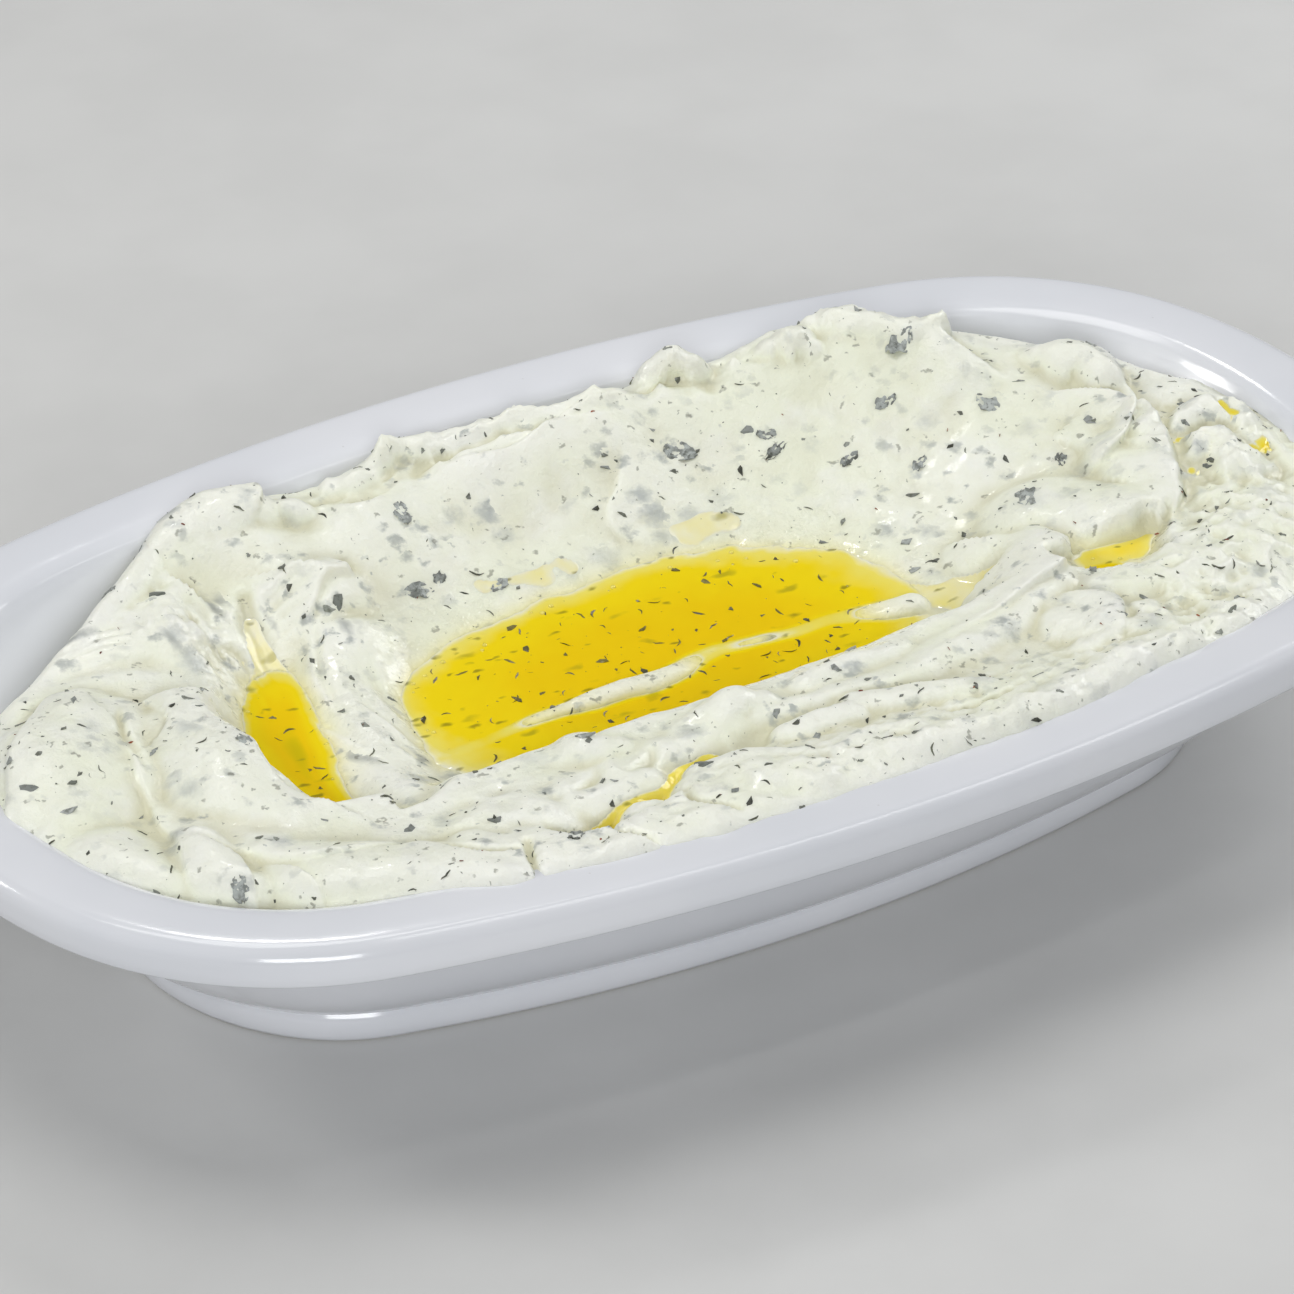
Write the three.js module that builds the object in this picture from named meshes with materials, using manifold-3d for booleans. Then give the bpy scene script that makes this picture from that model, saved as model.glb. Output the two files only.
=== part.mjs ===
// Haydari (strained yogurt with mint and dill) heaped in its long white oval meze dish, with olive oil
// in the hollow that the back of a spoon has swept through it.
// Millimetres. The origin is the middle of the foot's flat underside, +X along the dish, +Z up.
import * as THREE from "three";
import Module from "manifold-3d";

const wasm = await Module();
wasm.setup();

// ---------------------------------------------------------------- driving sizes
// The rim's outermost edge and the foot are ovals of three arcs: long flat side arcs, end arcs and
// the corner arcs that join them.
const RIM_OVAL = { length: 222.6, width: 131.4, sideRadius: 331.7, endRadius: 75.3, cornerRadius: 49.3 };
const FOOT_OVAL = { length: 162, width: 76.6, sideRadius: 245, endRadius: 34, cornerRadius: 26 };
const ARC_STEPS = [7, 5, 4]; // facets in a quarter of the oval: side, corner, end
const RIM_TOP = 35.5;
const FLOOR_TOP = 6.5;
const FOOT_INSET = 29.8; // from the rim's outermost edge in to the foot's outer face
const FOOT_BAND = 3.6; // width of the ring that stands on the table
const FOOT_RECESS = 2.8; // how far the underside is raised inside that ring
const GAP = 0.3; // clearance between pieces that touch
const GRID = 2.95; // spacing of the facets on the haydari's surface
const POOL_LEVEL = 26;
const STREAK_LEVEL = 27.4;
const POCKET_LEVEL = 31;

// ---------------------------------------------------------------- the dish's ovals
// Centres of the arcs of an oval's first quarter; the corner arc touches the other two.
function arcCentres({ length, width, sideRadius, endRadius, cornerRadius }) {
  const side = new THREE.Vector2(0, width / 2 - sideRadius);
  const end = new THREE.Vector2(length / 2 - endRadius, 0);
  const fromSide = sideRadius - cornerRadius;
  const fromEnd = endRadius - cornerRadius;
  const span = side.distanceTo(end);
  const along = (fromSide ** 2 - fromEnd ** 2 + span ** 2) / (2 * span);
  const across = Math.sqrt(fromSide ** 2 - along ** 2);
  const unit = end.clone().sub(side).divideScalar(span);
  const corner = side.clone().addScaledVector(unit, along);
  corner.add(new THREE.Vector2(unit.y, -unit.x).multiplyScalar(across));
  return { side, corner, end };
}

// Once round an oval: at each facet corner the arc's centre, its radius and the angle.
function spokesOf(oval) {
  const { side, corner, end } = arcCentres(oval);
  const sideEnd = corner.clone().sub(side).angle();
  const cornerEnd = corner.clone().sub(end).angle();
  const arcs = [
    [side, oval.sideRadius, Math.PI / 2, sideEnd],
    [corner, oval.cornerRadius, sideEnd, cornerEnd],
    [end, oval.endRadius, cornerEnd, 0],
  ];
  const quarter = arcs.flatMap(([centre, radius, from, to], k) =>
    Array.from({ length: ARC_STEPS[k] }, (_, i) => {
      return { centre, radius, angle: from + ((to - from) * i) / ARC_STEPS[k] };
    }),
  );
  quarter.push({ centre: end, radius: oval.endRadius, angle: 0 });
  const n = quarter.length - 1;
  return Array.from({ length: 4 * n }, (_, k) => {
    const turn = Math.floor(k / n);
    const step = turn % 2 === 0 ? k % n : n - (k % n);
    const mirrorX = turn >= 2 ? -1 : 1;
    const mirrorY = turn === 1 || turn === 2 ? -1 : 1;
    return { ...quarter[step], mirrorX, mirrorY };
  });
}
const rimSpokes = spokesOf(RIM_OVAL);
const footSpokes = spokesOf(FOOT_OVAL);
const pointOn = ({ centre, radius, angle, mirrorX, mirrorY }, inset, z) =>
  new THREE.Vector3(
    mirrorX * (centre.x + (radius - inset) * Math.cos(angle)),
    mirrorY * (centre.y + (radius - inset) * Math.sin(angle)),
    z,
  );

// One ring of points at height z, a distance inside the rim's outermost edge. The share of the
// foot's own oval grows from 0 at the rim to 1 at the foot.
function ring(inset, z, footShare = 0) {
  return rimSpokes.map((spoke, k) => {
    const onFoot = pointOn(footSpokes[k], inset - FOOT_INSET, z);
    return pointOn(spoke, inset, z).lerp(onFoot, footShare);
  });
}

// Skin over a stack of rings, closed by a fan at each end.
function skin(rings) {
  const points = rings.flat();
  const around = rings[0].length;
  const index = [];
  for (let r = 0; r + 1 < rings.length; r += 1) {
    for (let k = 0; k < around; k += 1) {
      const a = r * around + k;
      const b = r * around + ((k + 1) % around);
      index.push(a, b, b + around, a, b + around, a + around);
    }
  }
  const last = (rings.length - 1) * around;
  const lowHub = points.push(new THREE.Vector3(0, 0, rings[0][0].z)) - 1;
  const highHub = points.push(new THREE.Vector3(0, 0, rings.at(-1)[0].z)) - 1;
  for (let k = 0; k < around; k += 1) {
    const next = (k + 1) % around;
    index.push(lowHub, next, k, highHub, last + k, last + next);
  }
  return solidFrom(points, index);
}

function solidFrom(points, index) {
  const vertProperties = new Float32Array(points.flatMap((p) => [p.x, p.y, p.z]));
  const make = (triVerts) =>
    new wasm.Manifold(new wasm.Mesh({ numProp: 3, vertProperties, triVerts }));
  const solid = make(new Uint32Array(index));
  if (solid.volume() > 0) return solid;
  const flipped = [];
  for (let i = 0; i < index.length; i += 3) flipped.push(index[i], index[i + 2], index[i + 1]);
  return make(new Uint32Array(flipped));
}

// ---------------------------------------------------------------- the dish
// Each profile point is [distance inside the rim's outermost edge, height, share of the foot's oval].
const innerProfile = [
  [37.3, FLOOR_TOP, 1],
  [32.3, 7.2, 1],
  [28.3, 9.2, 0.85],
  [24.3, 13.6, 0.65],
  [21.3, 18.3, 0.45],
  [15.3, 28.6, 0.1],
  [13.3, 31.9, 0],
  [12.3, 33.4, 0],
  [11.1, 34.6, 0],
  [8.8, 35.3, 0],
  [3, RIM_TOP, 0],
];
const outerProfile = [
  [1.3, 35.0, 0],
  [0.3, 33.9, 0],
  [0, 32.4, 0],
  [0, 30.8, 0],
  [0.7, 29.7, 0],
  [10.3, 28.6, 0],
  [13.8, 25, 0.15],
  [17.3, 18.5, 0.4],
  [21.3, 11.5, 0.7],
  [26.6, 5.6, 1],
  [28.9, 4.9, 1],
  [FOOT_INSET, 0, 1],
  [FOOT_INSET + FOOT_BAND, 0, 1],
  [FOOT_INSET + FOOT_BAND + 1.4, FOOT_RECESS, 1],
];
const dishSolid = skin([...innerProfile, ...outerProfile].map((point) => ring(...point)));

// The same inner profile moved off the dish by the gap: what lies in the dish stays inside this.
const roomRings = innerProfile.map(([inset, z, footShare], i) => {
  const [i0, z0] = innerProfile[Math.max(i - 1, 0)];
  const [i1, z1] = innerProfile[Math.min(i + 1, innerProfile.length - 1)];
  const length = Math.hypot(i1 - i0, z1 - z0);
  return ring(inset + ((z1 - z0) / length) * GAP, z - ((i1 - i0) / length) * GAP, footShare);
});
const room = skin([...roomRings, ring(3, 60)]);

// ---------------------------------------------------------------- the haydari's surface
// Where the haydari meets the dish, once round, seen from above.
const contactLine = [
  [-102, -9.5], [-98, -23], [-87.5, -35], [-73.5, -46], [-52.5, -55], [-25, -58.5], [2.5, -59],
  [33.5, -56.5], [64.5, -50.5], [88, -36], [96, -26], [100, -12], [100.5, 2], [98, 14], [91, 25],
  [80, 35], [68, 43.5], [58, 49], [46, 51.5], [30, 52], [-10, 53], [-30, 52.5], [-38, 54],
  [-46, 53.5], [-53, 51], [-59, 46.5], [-66, 41], [-76, 34], [-92, 22], [-98, 12], [-102.5, -5],
];
// Height of the crest on the far side, along the dish.
const crestLine = [
  [-60, 34.5], [-35, 34.3], [-22, 34.6], [-5, 35.4], [15, 36], [30, 36.3], [38, 36.8], [46, 38.8],
  [56, 39.8], [63, 39], [68, 37.2], [76, 36.4], [90, 34.6],
];

const clamp = (value) => Math.min(Math.max(value, 0), 1);
function smoothStep(from, to, value) {
  const t = clamp((value - from) / (to - from));
  return t * t * (3 - 2 * t);
}
function softMax(a, b, soft) {
  const t = clamp(0.5 + (0.5 * (a - b)) / soft);
  return b + (a - b) * t + soft * t * (1 - t);
}
const softMin = (a, b, soft) => -softMax(-a, -b, soft);
function between(table, value) {
  if (value <= table[0][0]) return table[0][1];
  for (let i = 1; i < table.length; i += 1) {
    const [x1, y1] = table[i];
    const [x0, y0] = table[i - 1];
    if (value < x1) return y0 + ((y1 - y0) * (value - x0)) / (x1 - x0);
  }
  return table.at(-1)[1];
}
// Slow uneven waves, which keep every edge from running too smoothly.
function waves(x, y, seed, size) {
  let sum = 0;
  for (let k = 0; k < 6; k += 1) {
    const a = seed * 1.7 + k * 2.399;
    const f = ((1 + 0.31 * k) / size) * 2.1;
    const bend = (x * Math.sin(a * 1.3) - y * Math.cos(a * 1.3)) * f * 0.6 + k;
    const run = (x * Math.cos(a) + y * Math.sin(a)) * f + seed * 3.1 + k * 1.3;
    sum += Math.sin(run + 0.8 * Math.sin(bend)) / (1 + 0.35 * k);
  }
  return sum / 2.6;
}
// A smooth path through the given points, as short straight pieces; all values are carried along.
const PATH_STEPS = 24;
function smoothPath(points) {
  const last = points.length - 1;
  const blend = (p, q, share) => p.map((value, j) => value + (q[j] - value) * share);
  if (last === 1) {
    return Array.from({ length: PATH_STEPS + 1 }, (_, k) => blend(points[0], points[1], k / PATH_STEPS));
  }
  const q = [blend(points[0], points[1], -1), ...points, blend(points[last], points[last - 1], -1)];
  return Array.from({ length: PATH_STEPS + 1 }, (_, k) => {
    const t = (k * last) / PATH_STEPS;
    const i = Math.min(Math.floor(t), last - 1);
    const f = t - i;
    return q[i].map((a, j) => {
      const b = q[i + 1][j];
      const c = q[i + 2][j];
      const d = q[i + 3][j];
      const square = (2 * a - 5 * b + 4 * c - d) * f * f;
      const cube = (3 * b - a - 3 * c + d) * f ** 3;
      return 0.5 * (2 * b + (c - a) * f + square + cube);
    });
  });
}
// Distance from the path, the side (left of its direction is +1) and the path's own values there.
function alongPath(path, x, y) {
  let best = { distance: Infinity };
  for (let i = 0; i + 1 < path.length; i += 1) {
    const [ax, ay] = path[i];
    const dx = path[i + 1][0] - ax;
    const dy = path[i + 1][1] - ay;
    const f = clamp(((x - ax) * dx + (y - ay) * dy) / (dx * dx + dy * dy + 1e-9));
    const distance = Math.hypot(x - ax - f * dx, y - ay - f * dy);
    if (distance < best.distance) {
      best = { distance, i, f, side: Math.sign(dx * (y - ay) - dy * (x - ax)) };
    }
  }
  const { i, f } = best;
  best.values = path[i].map((value, j) => value + (path[i + 1][j] - value) * f).slice(2);
  return best;
}

// The strokes of the spoon. A mound piles haydari along its path and a scoop takes it away: path
// points are [x, y, height, width to the left, width to the right], and at its width the stroke is
// 3 mm lower or higher than on its path. A fold is a lip [x, y, height, width] that fades out to
// the left of its path and drops off sharply to the right. A tip is a drawn-up point.
function pairWidths(points) {
  return points.map((p) => (p.length > 4 ? p : [p[0], p[1], p[2], p[3], p[3]]));
}
function mound(points, { soft = 0.5, power = 2 } = {}) {
  const path = smoothPath(pairWidths(points));
  return (height, x, y) => {
    const { distance, side, values } = alongPath(path, x, y);
    const width = side > 0 ? values[1] : values[2];
    return softMax(height, values[0] - 3 * (distance / width) ** power, soft);
  };
}
function scoop(points, { soft = 0.7 } = {}) {
  const path = smoothPath(pairWidths(points));
  return (height, x, y) => {
    const { distance, side, values } = alongPath(path, x, y);
    const width = side > 0 ? values[1] : values[2];
    return softMin(height, values[0] + 3 * (distance / width) ** 2, soft);
  };
}
function fold(points, { steep = 1.4 } = {}) {
  const path = smoothPath(points);
  return (height, x, y) => {
    const { distance, side, values } = alongPath(path, x, y);
    const fade = side > 0 ? Math.exp(-((distance / values[1]) ** 2)) : 1 - smoothStep(0, steep, distance);
    return height + values[0] * fade;
  };
}
function tip(tipX, tipY, rise, width) {
  return (height, x, y) => height + rise * Math.exp(-Math.hypot(x - tipX, y - tipY) / width);
}

const strokes = [
  // ridge behind the drag marks
  mound([[-82, 24.5, 32.5, 6], [-73, 25, 34, 7], [-60, 28, 35.2, 9], [-45.5, 33, 35.4, 8],
    [-37, 26.5, 33.6, 7], [-33.5, 22, 28.5, 7]], { soft: 1.2 }),
  mound([[-56, 41, 35.4, 8], [-49.5, 41.5, 36.2, 8], [-43, 42.5, 36.2, 7]], { soft: 1.2 }),
  // the two big petals on the left
  mound([[-98, -9, 35.6, 13], [-90.5, 0.5, 37, 14], [-83, 7.5, 36.4, 11]], { soft: 0.4 }),
  mound([[-73, 3.5, 35.4, 12, 9], [-72.5, -6.5, 36, 12, 9], [-72.5, -16.5, 35.2, 11, 8],
    [-68.5, -24, 33.6, 8, 6]], { soft: 0.4 }),
  // the slope down to the groove that holds the streak of oil
  scoop([[-52, 27.5, 32, 12, 8], [-50.5, 22.5, 29, 12, 7.5], [-51.5, 14.5, 26.3, 12, 8],
    [-54, 5.5, 25, 10.5, 7.5], [-54, -4, 24, 9.5, 6.5], [-54.5, -13, 24.4, 8.5, 5.5]]),
  // small petals and broad lumps at the near left
  mound([[-94, -19, 35.8, 9], [-92, -28.5, 35.8, 9]], { soft: 0.35 }),
  mound([[-83, -25, 35.4, 6], [-82, -34.5, 35.6, 7]], { soft: 0.3 }),
  mound([[-74.5, -30.5, 34.8, 8], [-70, -39, 36.2, 9], [-62.5, -45, 36.6, 9], [-53.5, -46.5, 36.4, 8]]),
  // the long ridge on the near side of the pool
  mound([[50.5, -6.5, 31, 4, 7], [53, -11, 32.4, 4, 9], [52, -20, 34, 4.5, 9],
    [46, -27.5, 34.8, 4.5, 8], [29.5, -32.5, 34.8, 4.5, 7.5], [10.5, -35, 34.5, 4.5, 7.5],
    [-9.5, -33.5, 34, 5, 7.5], [-28, -35.5, 34.4, 6, 7.5], [-39, -34.5, 33.8, 7, 8],
    [-47.5, -31, 33, 8, 8]], { soft: 0.35, power: 1.7 }),
  // the valley behind it
  scoop([[26.5, -34, 34.4, 3.4], [15, -37, 33.8, 3.6], [2.5, -36.5, 33.4, 4], [-9, -38, 32.6, 4.4],
    [-20, -40.5, 31.4, 4.4], [-32, -43, 30.6, 4], [-38, -43.5, 31.2, 3.4]]),
  // lobes between the valley and the near rim
  mound([[-17, -45.5, 35.4, 6], [-13, -48.5, 36.6, 6.6],
    [-6.5, -52, 36.9, 6.8]], { soft: 0.4, power: 3 }),
  mound([[0, -52, 36.8, 5.5], [13.5, -54, 37.2, 5.5], [31, -53, 37.2, 6.5],
    [52.5, -50, 37, 7]], { soft: 0.4 }),
  mound([[-27, -47, 34.8, 5], [-25.5, -51, 36.4, 5.6], [-22.5, -55, 37, 5.4]], { soft: 0.4, power: 3 }),
  mound([[-42, -51, 36, 6], [-40, -55, 36.9, 6.4], [-35, -55, 37, 5.5]], { soft: 0.4, power: 3 }),
  mound([[44, -35.5, 35.2, 6.5], [46.5, -39, 35.8, 6]], { soft: 0.3 }),
  mound([[50, -43, 35.8, 6.5], [52.5, -46, 35.5, 6]], { soft: 0.3 }),
  // the broad heap at the right end
  mound([[56, -29.5, 34.4, 8], [66, -31.5, 35.4, 12], [75.5, -29.5, 35.4, 12],
    [84, -21, 34.8, 11]], { soft: 0.8 }),
  // the round lobe at the end of the sweep
  mound([[73.5, -1.5, 35, 6], [73, -7.5, 35.4, 7.5], [70.5, -11, 35, 7.5], [66, -9.5, 34.4, 8],
    [62, -5, 33.6, 10]], { soft: 0.8, power: 2.4 }),
  // lumps behind the curled lip at the far right
  mound([[82.5, 6, 35, 6], [77.5, -3, 35.4, 6]]),
  mound([[88, 1.5, 35, 7], [92, -3, 34.6, 7], [90, -12, 34, 7]]),
  // the ridge that parts the pool
  mound([[-39, -9.5, 25.6, 3.4], [-31.5, -9.5, 25.4, 3.4], [-21.5, -8.8, 26.6, 3.8], [-14.5, -8.6, 27.4, 4],
    [-7.5, -8, 27.6, 4], [-1.5, -6.8, 26.8, 3.8], [5, -6.2, 25.8, 3.4], [20, -7.6, 25.6, 3.4],
    [27, -8, 26.3, 3.6], [34.5, -9, 27.5, 4]], { soft: 0.6, power: 2.6 }),
  // thin lip, then the bank between the streak and the pool
  fold([[-44.5, 17, 0, 5], [-42, 23, 1.2, 6], [-38, 28, 1.5, 7], [-34.5, 29.5, 1.2, 8],
    [-36.5, 34, 0, 8]]),
  mound([[-39.5, 19.5, 31, 7], [-43, 10.5, 29.6, 7], [-46.5, -1, 29, 7], [-49, -12.5, 29.2, 7],
    [-49.5, -23, 30.2, 7]], { soft: 1.2 }),
  // the far bank's crest on the left: a dollop with a turned-over edge, then two thin lips
  mound([[-82, 24, 34, 5], [-76, 29, 34.8, 5], [-70, 33.5, 35.4, 5.5], [-63, 39, 36.4, 5.5],
    [-58, 43, 36.8, 5]]),
  mound([[-53.5, 46, 37.4, 6], [-47, 47.5, 38.4, 7], [-43, 46.5, 38.5, 6.5],
    [-40, 46, 38, 5]], { power: 2.6 }),
  mound([[-37, 45, 36.6, 3.5], [-34.5, 44, 36.8, 4]], { soft: 0.3 }),
  mound([[-26.5, 47, 36, 3.6], [-22.5, 47, 36.5, 3.8], [-18.5, 48.5, 37.2, 3]]),
  mound([[-14, 50, 37.4, 3.4], [-10, 48, 37.6, 4], [-3.5, 48, 37.4, 4], [1.5, 49, 37.6, 4],
    [6.5, 46, 37.2, 4], [12.5, 46, 37.2, 4], [18, 46, 37.4, 4]]),
  fold([[32, 43.5, 0, 6], [24, 43.5, 0.9, 6], [15, 44.5, 1.2, 6], [6, 42, 1.2, 6], [-0.5, 43.5, 1, 6],
    [-10.5, 42.5, 0.8, 6], [-16, 43, 0, 5]], { steep: 1 }),
  tip(-16.5, 49.5, 3, 1.8),
  // a peak, a rolled lump and two drawn-up tips on the crest
  mound([[43.5, 43.5, 39.5, 3.4], [45, 43, 40.8, 3.8], [47, 42, 41, 3.8],
    [48, 40.5, 39.8, 3.2]], { soft: 0.3 }),
  mound([[51, 45, 40.6, 3.4], [55, 43, 41.4, 4.4], [59, 39.5, 41, 4.4], [61.5, 36.5, 40.2, 4]]),
  tip(66.5, 35.5, 1.7, 1.8),
  fold([[70.5, 22.5, 0, 7], [68.5, 27.5, 1.2, 8], [66, 31, 1.6, 8], [64.5, 35.5, 1.5, 8],
    [62.5, 40.5, 0, 7]]),
  // thin lips that the edge of the spoon left on the far bank
  fold([[-15, 44, 0, 6], [-23, 40.5, 1, 7], [-28, 41.5, 1, 7], [-32.5, 44, 0, 6]], { steep: 1.5 }),
  // the shell-like end of the sweep, and the ridge behind it
  mound([[77.5, 26.5, 37.4, 4], [79.5, 24.5, 38.4, 5], [82, 21.5, 38, 5],
    [82.5, 18.5, 37, 4.5]], { soft: 0.7 }),
  scoop([[72, 17, 35.4, 7], [75, 14, 34.8, 6], [76, 9, 34.4, 5.5], [73, 4, 33.6, 6]], { soft: 1 }),
  fold([[73.5, -14, 0, 4], [76.5, -10.5, 0.8, 5], [80.5, -3.5, 1.4, 6], [82, 3, 1.4, 6],
    [84, 12, 1.1, 5], [84, 17.5, 0.9, 5], [81.5, 24, 0, 5]], { steep: 1.2 }),
  fold([[66.5, -0.5, 0, 6], [70, -1.5, 1, 6], [74.5, 0, 1.8, 7], [78, 3.5, 2.2, 7], [80, 8, 2.2, 7],
    [80, 12.5, 1.8, 7], [77.5, 16, 1.2, 7], [73, 18.5, 0, 7]], { steep: 1.2 }),
  // rough lumps at the right end
  mound([[85.5, 0.5, 36, 3.4], [91, 2.5, 36.6, 4], [93.5, 0, 36.6, 4], [93, -5, 34.6, 4.4],
    [92, -9.5, 33.4, 4.4]]),
  mound([[83.5, -6, 35.8, 4], [87.5, -4.5, 36, 4], [87, -12, 35.8, 5.4]]),
  // the leaf-like fold at the ridge's far end, and the ridge's wavy top and crumpled face
  fold([[25, -30, 0, 5], [33.5, -28.5, 0.8, 6], [41.5, -26.5, 1.3, 7], [48, -24.5, 1.8, 7],
    [53, -20, 1.8, 8], [55.5, -15, 1.6, 8], [55, -10, 1, 7], [52.5, -6.5, 0, 7]], { steep: 1 }),
  mound([[-36, -27, 32.4, 5], [-31, -28, 34.4, 4.6], [-28, -28.5, 35.6, 4.4],
    [-24, -30, 34.4, 4.6]], { power: 2.4 }),
  mound([[-14, -31.5, 34.2, 4.4], [-9, -31, 35.2, 4.4], [-5, -29.5, 36, 4],
    [-2, -30.5, 34.8, 4.4]], { power: 2.4 }),
  mound([[6, -29.5, 34.6, 4], [14, -28.5, 34.8, 4], [22, -27.5, 34, 4]]),
  mound([[-48, -36, 34.2, 7], [-42, -37, 34.6, 6.4], [-39, -40, 34.6, 5.6]], { soft: 0.7, power: 2.6 }),
  mound([[-35, -38.5, 34.2, 5], [-29.5, -38.5, 34.4, 4.6],
    [-24, -38.5, 34, 4.4]], { soft: 0.6, power: 2.4 }),
  // angular lumps between the valley and the near rim
  mound([[-17, -41.5, 34.8, 3.4], [-11.5, -43.5, 35.8, 3.8], [-7.5, -45.5, 36.1, 3.6],
    [-3.5, -47.5, 35.8, 3.4], [-2, -49.5, 35.4, 3]], { soft: 0.35, power: 3 }),
  mound([[-59, -41.5, 35.6, 5], [-57, -47, 36.5, 5.4],
    [-53, -51.5, 36.8, 5.2]], { soft: 0.4, power: 3 }),
  mound([[-51.5, -41, 35, 5], [-48, -44.5, 35.2, 4.4]], { soft: 0.4, power: 3 }),
  mound([[-2.5, -39.5, 35.2, 3.6], [1.5, -40, 35.7, 3.6],
    [6.5, -40, 35.5, 3.4]], { soft: 0.35, power: 3 }),
  mound([[8.5, -38, 35.2, 3.6], [14.5, -40, 35.8, 3.8], [20.5, -42.5, 36, 3.8],
    [24.5, -44, 35.6, 3.6]], { soft: 0.35, power: 3 }),
  mound([[1, -49.5, 36.6, 4], [6, -48.5, 36.4, 4], [11, -50.5, 36.6, 4]], { soft: 0.35, power: 3 }),
  // the dome on the near right
  mound([[45, -31, 34.4, 4.4], [48, -32.5, 35, 4.8], [48.5, -37, 35.2, 4.8], [46.5, -41.5, 35.4, 4.6],
    [42.5, -43, 35.4, 4.2]], { soft: 0.4, power: 2.6 }),
  mound([[54, -38, 35, 4], [53.5, -44.5, 35.8, 4.4], [52, -50.5, 36, 4]]),
  // edges of the petals on the left, and the valley behind them
  scoop([[-80, 22.5, 33.7, 3.4], [-71, 21.5, 33.6, 3.8], [-66.5, 19.5, 33, 3.8],
    [-62.5, 15.5, 32.4, 3.4], [-59.5, 11, 31, 3]], { soft: 0.8 }),
  fold([[-75.5, 15.5, 0, 8], [-80, 17.5, 1, 8], [-86, 14.5, 1.3, 9], [-93.5, 5.5, 1.4, 9],
    [-99, -3.5, 1, 8], [-101.5, -9, 0, 7]], { steep: 1.4 }),
  fold([[-76.5, 10.5, 0, 7], [-79.5, 2.5, 0.9, 8], [-81.5, -5.5, 1, 9], [-83, -16.5, 0.9, 8],
    [-84.5, -26.5, 0.7, 7], [-86.5, -34.5, 0, 7]], { steep: 1.2 }),
  fold([[-60, -30.5, 0, 7], [-63, -24, 1, 8], [-66, -18.5, 1.4, 9], [-66.5, -11, 1.7, 10],
    [-65, -2, 1.8, 10], [-66, 7, 1.6, 10], [-70.5, 11.5, 1.2, 9], [-74.5, 11.5, 0, 9]], { steep: 1.2 }),
  fold([[-84, -20, 0, 7], [-80, -24, 0.8, 7], [-76, -30.5, 0.9, 8], [-69, -35.5, 0.8, 8],
    [-59.5, -36.5, 0.5, 7], [-50.5, -35.5, 0, 6]], { steep: 1.3 }),
  fold([[-83.5, -41.5, 0, 5], [-82.5, -40.5, 0.8, 6], [-79.5, -33, 1.2, 6], [-81, -27, 1, 5],
    [-84, -23, 0, 5]], { steep: 0.9 }),
  // the upper end of the groove
  scoop([[-50.4, 22, 27, 3], [-50.6, 18, 26.5, 4], [-51.5, 13, 26.3, 4.6]], { soft: 0.5 }),
  // the pocket under the round lobe
  scoop([[58.5, -19.5, 29.5, 4.5], [61.5, -19, 29.3, 4.8], [65, -18.5, 29.6, 4.6], [67.5, -17.5, 30, 4]],
    { soft: 0.4 }),
];

// How far a point is inside the contact line (negative outside).
function insideContact(x, y) {
  let nearest = Infinity;
  let inside = false;
  contactLine.forEach(([ax, ay], i) => {
    const [bx, by] = contactLine[(i + 1) % contactLine.length];
    const dx = bx - ax;
    const dy = by - ay;
    const f = clamp(((x - ax) * dx + (y - ay) * dy) / (dx * dx + dy * dy));
    nearest = Math.min(nearest, Math.hypot(x - ax - f * dx, y - ay - f * dy));
    if (ay > y !== by > y && x < (dx * (y - ay)) / dy + ax) inside = !inside;
  });
  return inside ? nearest : -nearest;
}

// The hollow: a long sweep along the dish, gentle towards the far crest and steep on the near side.
function sweptHollow(x, y) {
  const across = y + 4 - 0.02 * x;
  const far = 0.00171 * Math.abs(across) ** 2.33;
  const near = 0.004 * across ** 2 + 9 * smoothStep(12, 24, -across);
  const ends = x < -5 ? 0.0017 * (x + 5) ** 2 : x > 5 ? 0.0023 * (x - 5) ** 2 : 0;
  const brim = 2.8 * smoothStep(36, 51, -y);
  const level = 33.4 + brim + smoothStep(8, 34, y) * (between(crestLine, x) - 33.4);
  return softMin(23.8 + (across > 0 ? far : near) + ends, level, 2);
}

// Distance from the rim's outermost edge in to a point.
const rimCentres = arcCentres(RIM_OVAL);
function insideRim(x, y) {
  const point = new THREE.Vector2(Math.abs(x), Math.abs(y));
  const beyondCorner = (centre) =>
    rimCentres.corner.clone().sub(centre).cross(point.clone().sub(centre));
  const bySide = RIM_OVAL.sideRadius - point.distanceTo(rimCentres.side);
  if (beyondCorner(rimCentres.side) > 0) return bySide;
  const byEnd = RIM_OVAL.endRadius - point.distanceTo(rimCentres.end);
  if (beyondCorner(rimCentres.end) < 0) return Math.min(byEnd, bySide);
  return Math.min(RIM_OVAL.cornerRadius - point.distanceTo(rimCentres.corner), bySide);
}
const dishHeights = [...innerProfile].reverse(); // by growing distance from the rim's edge

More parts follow.
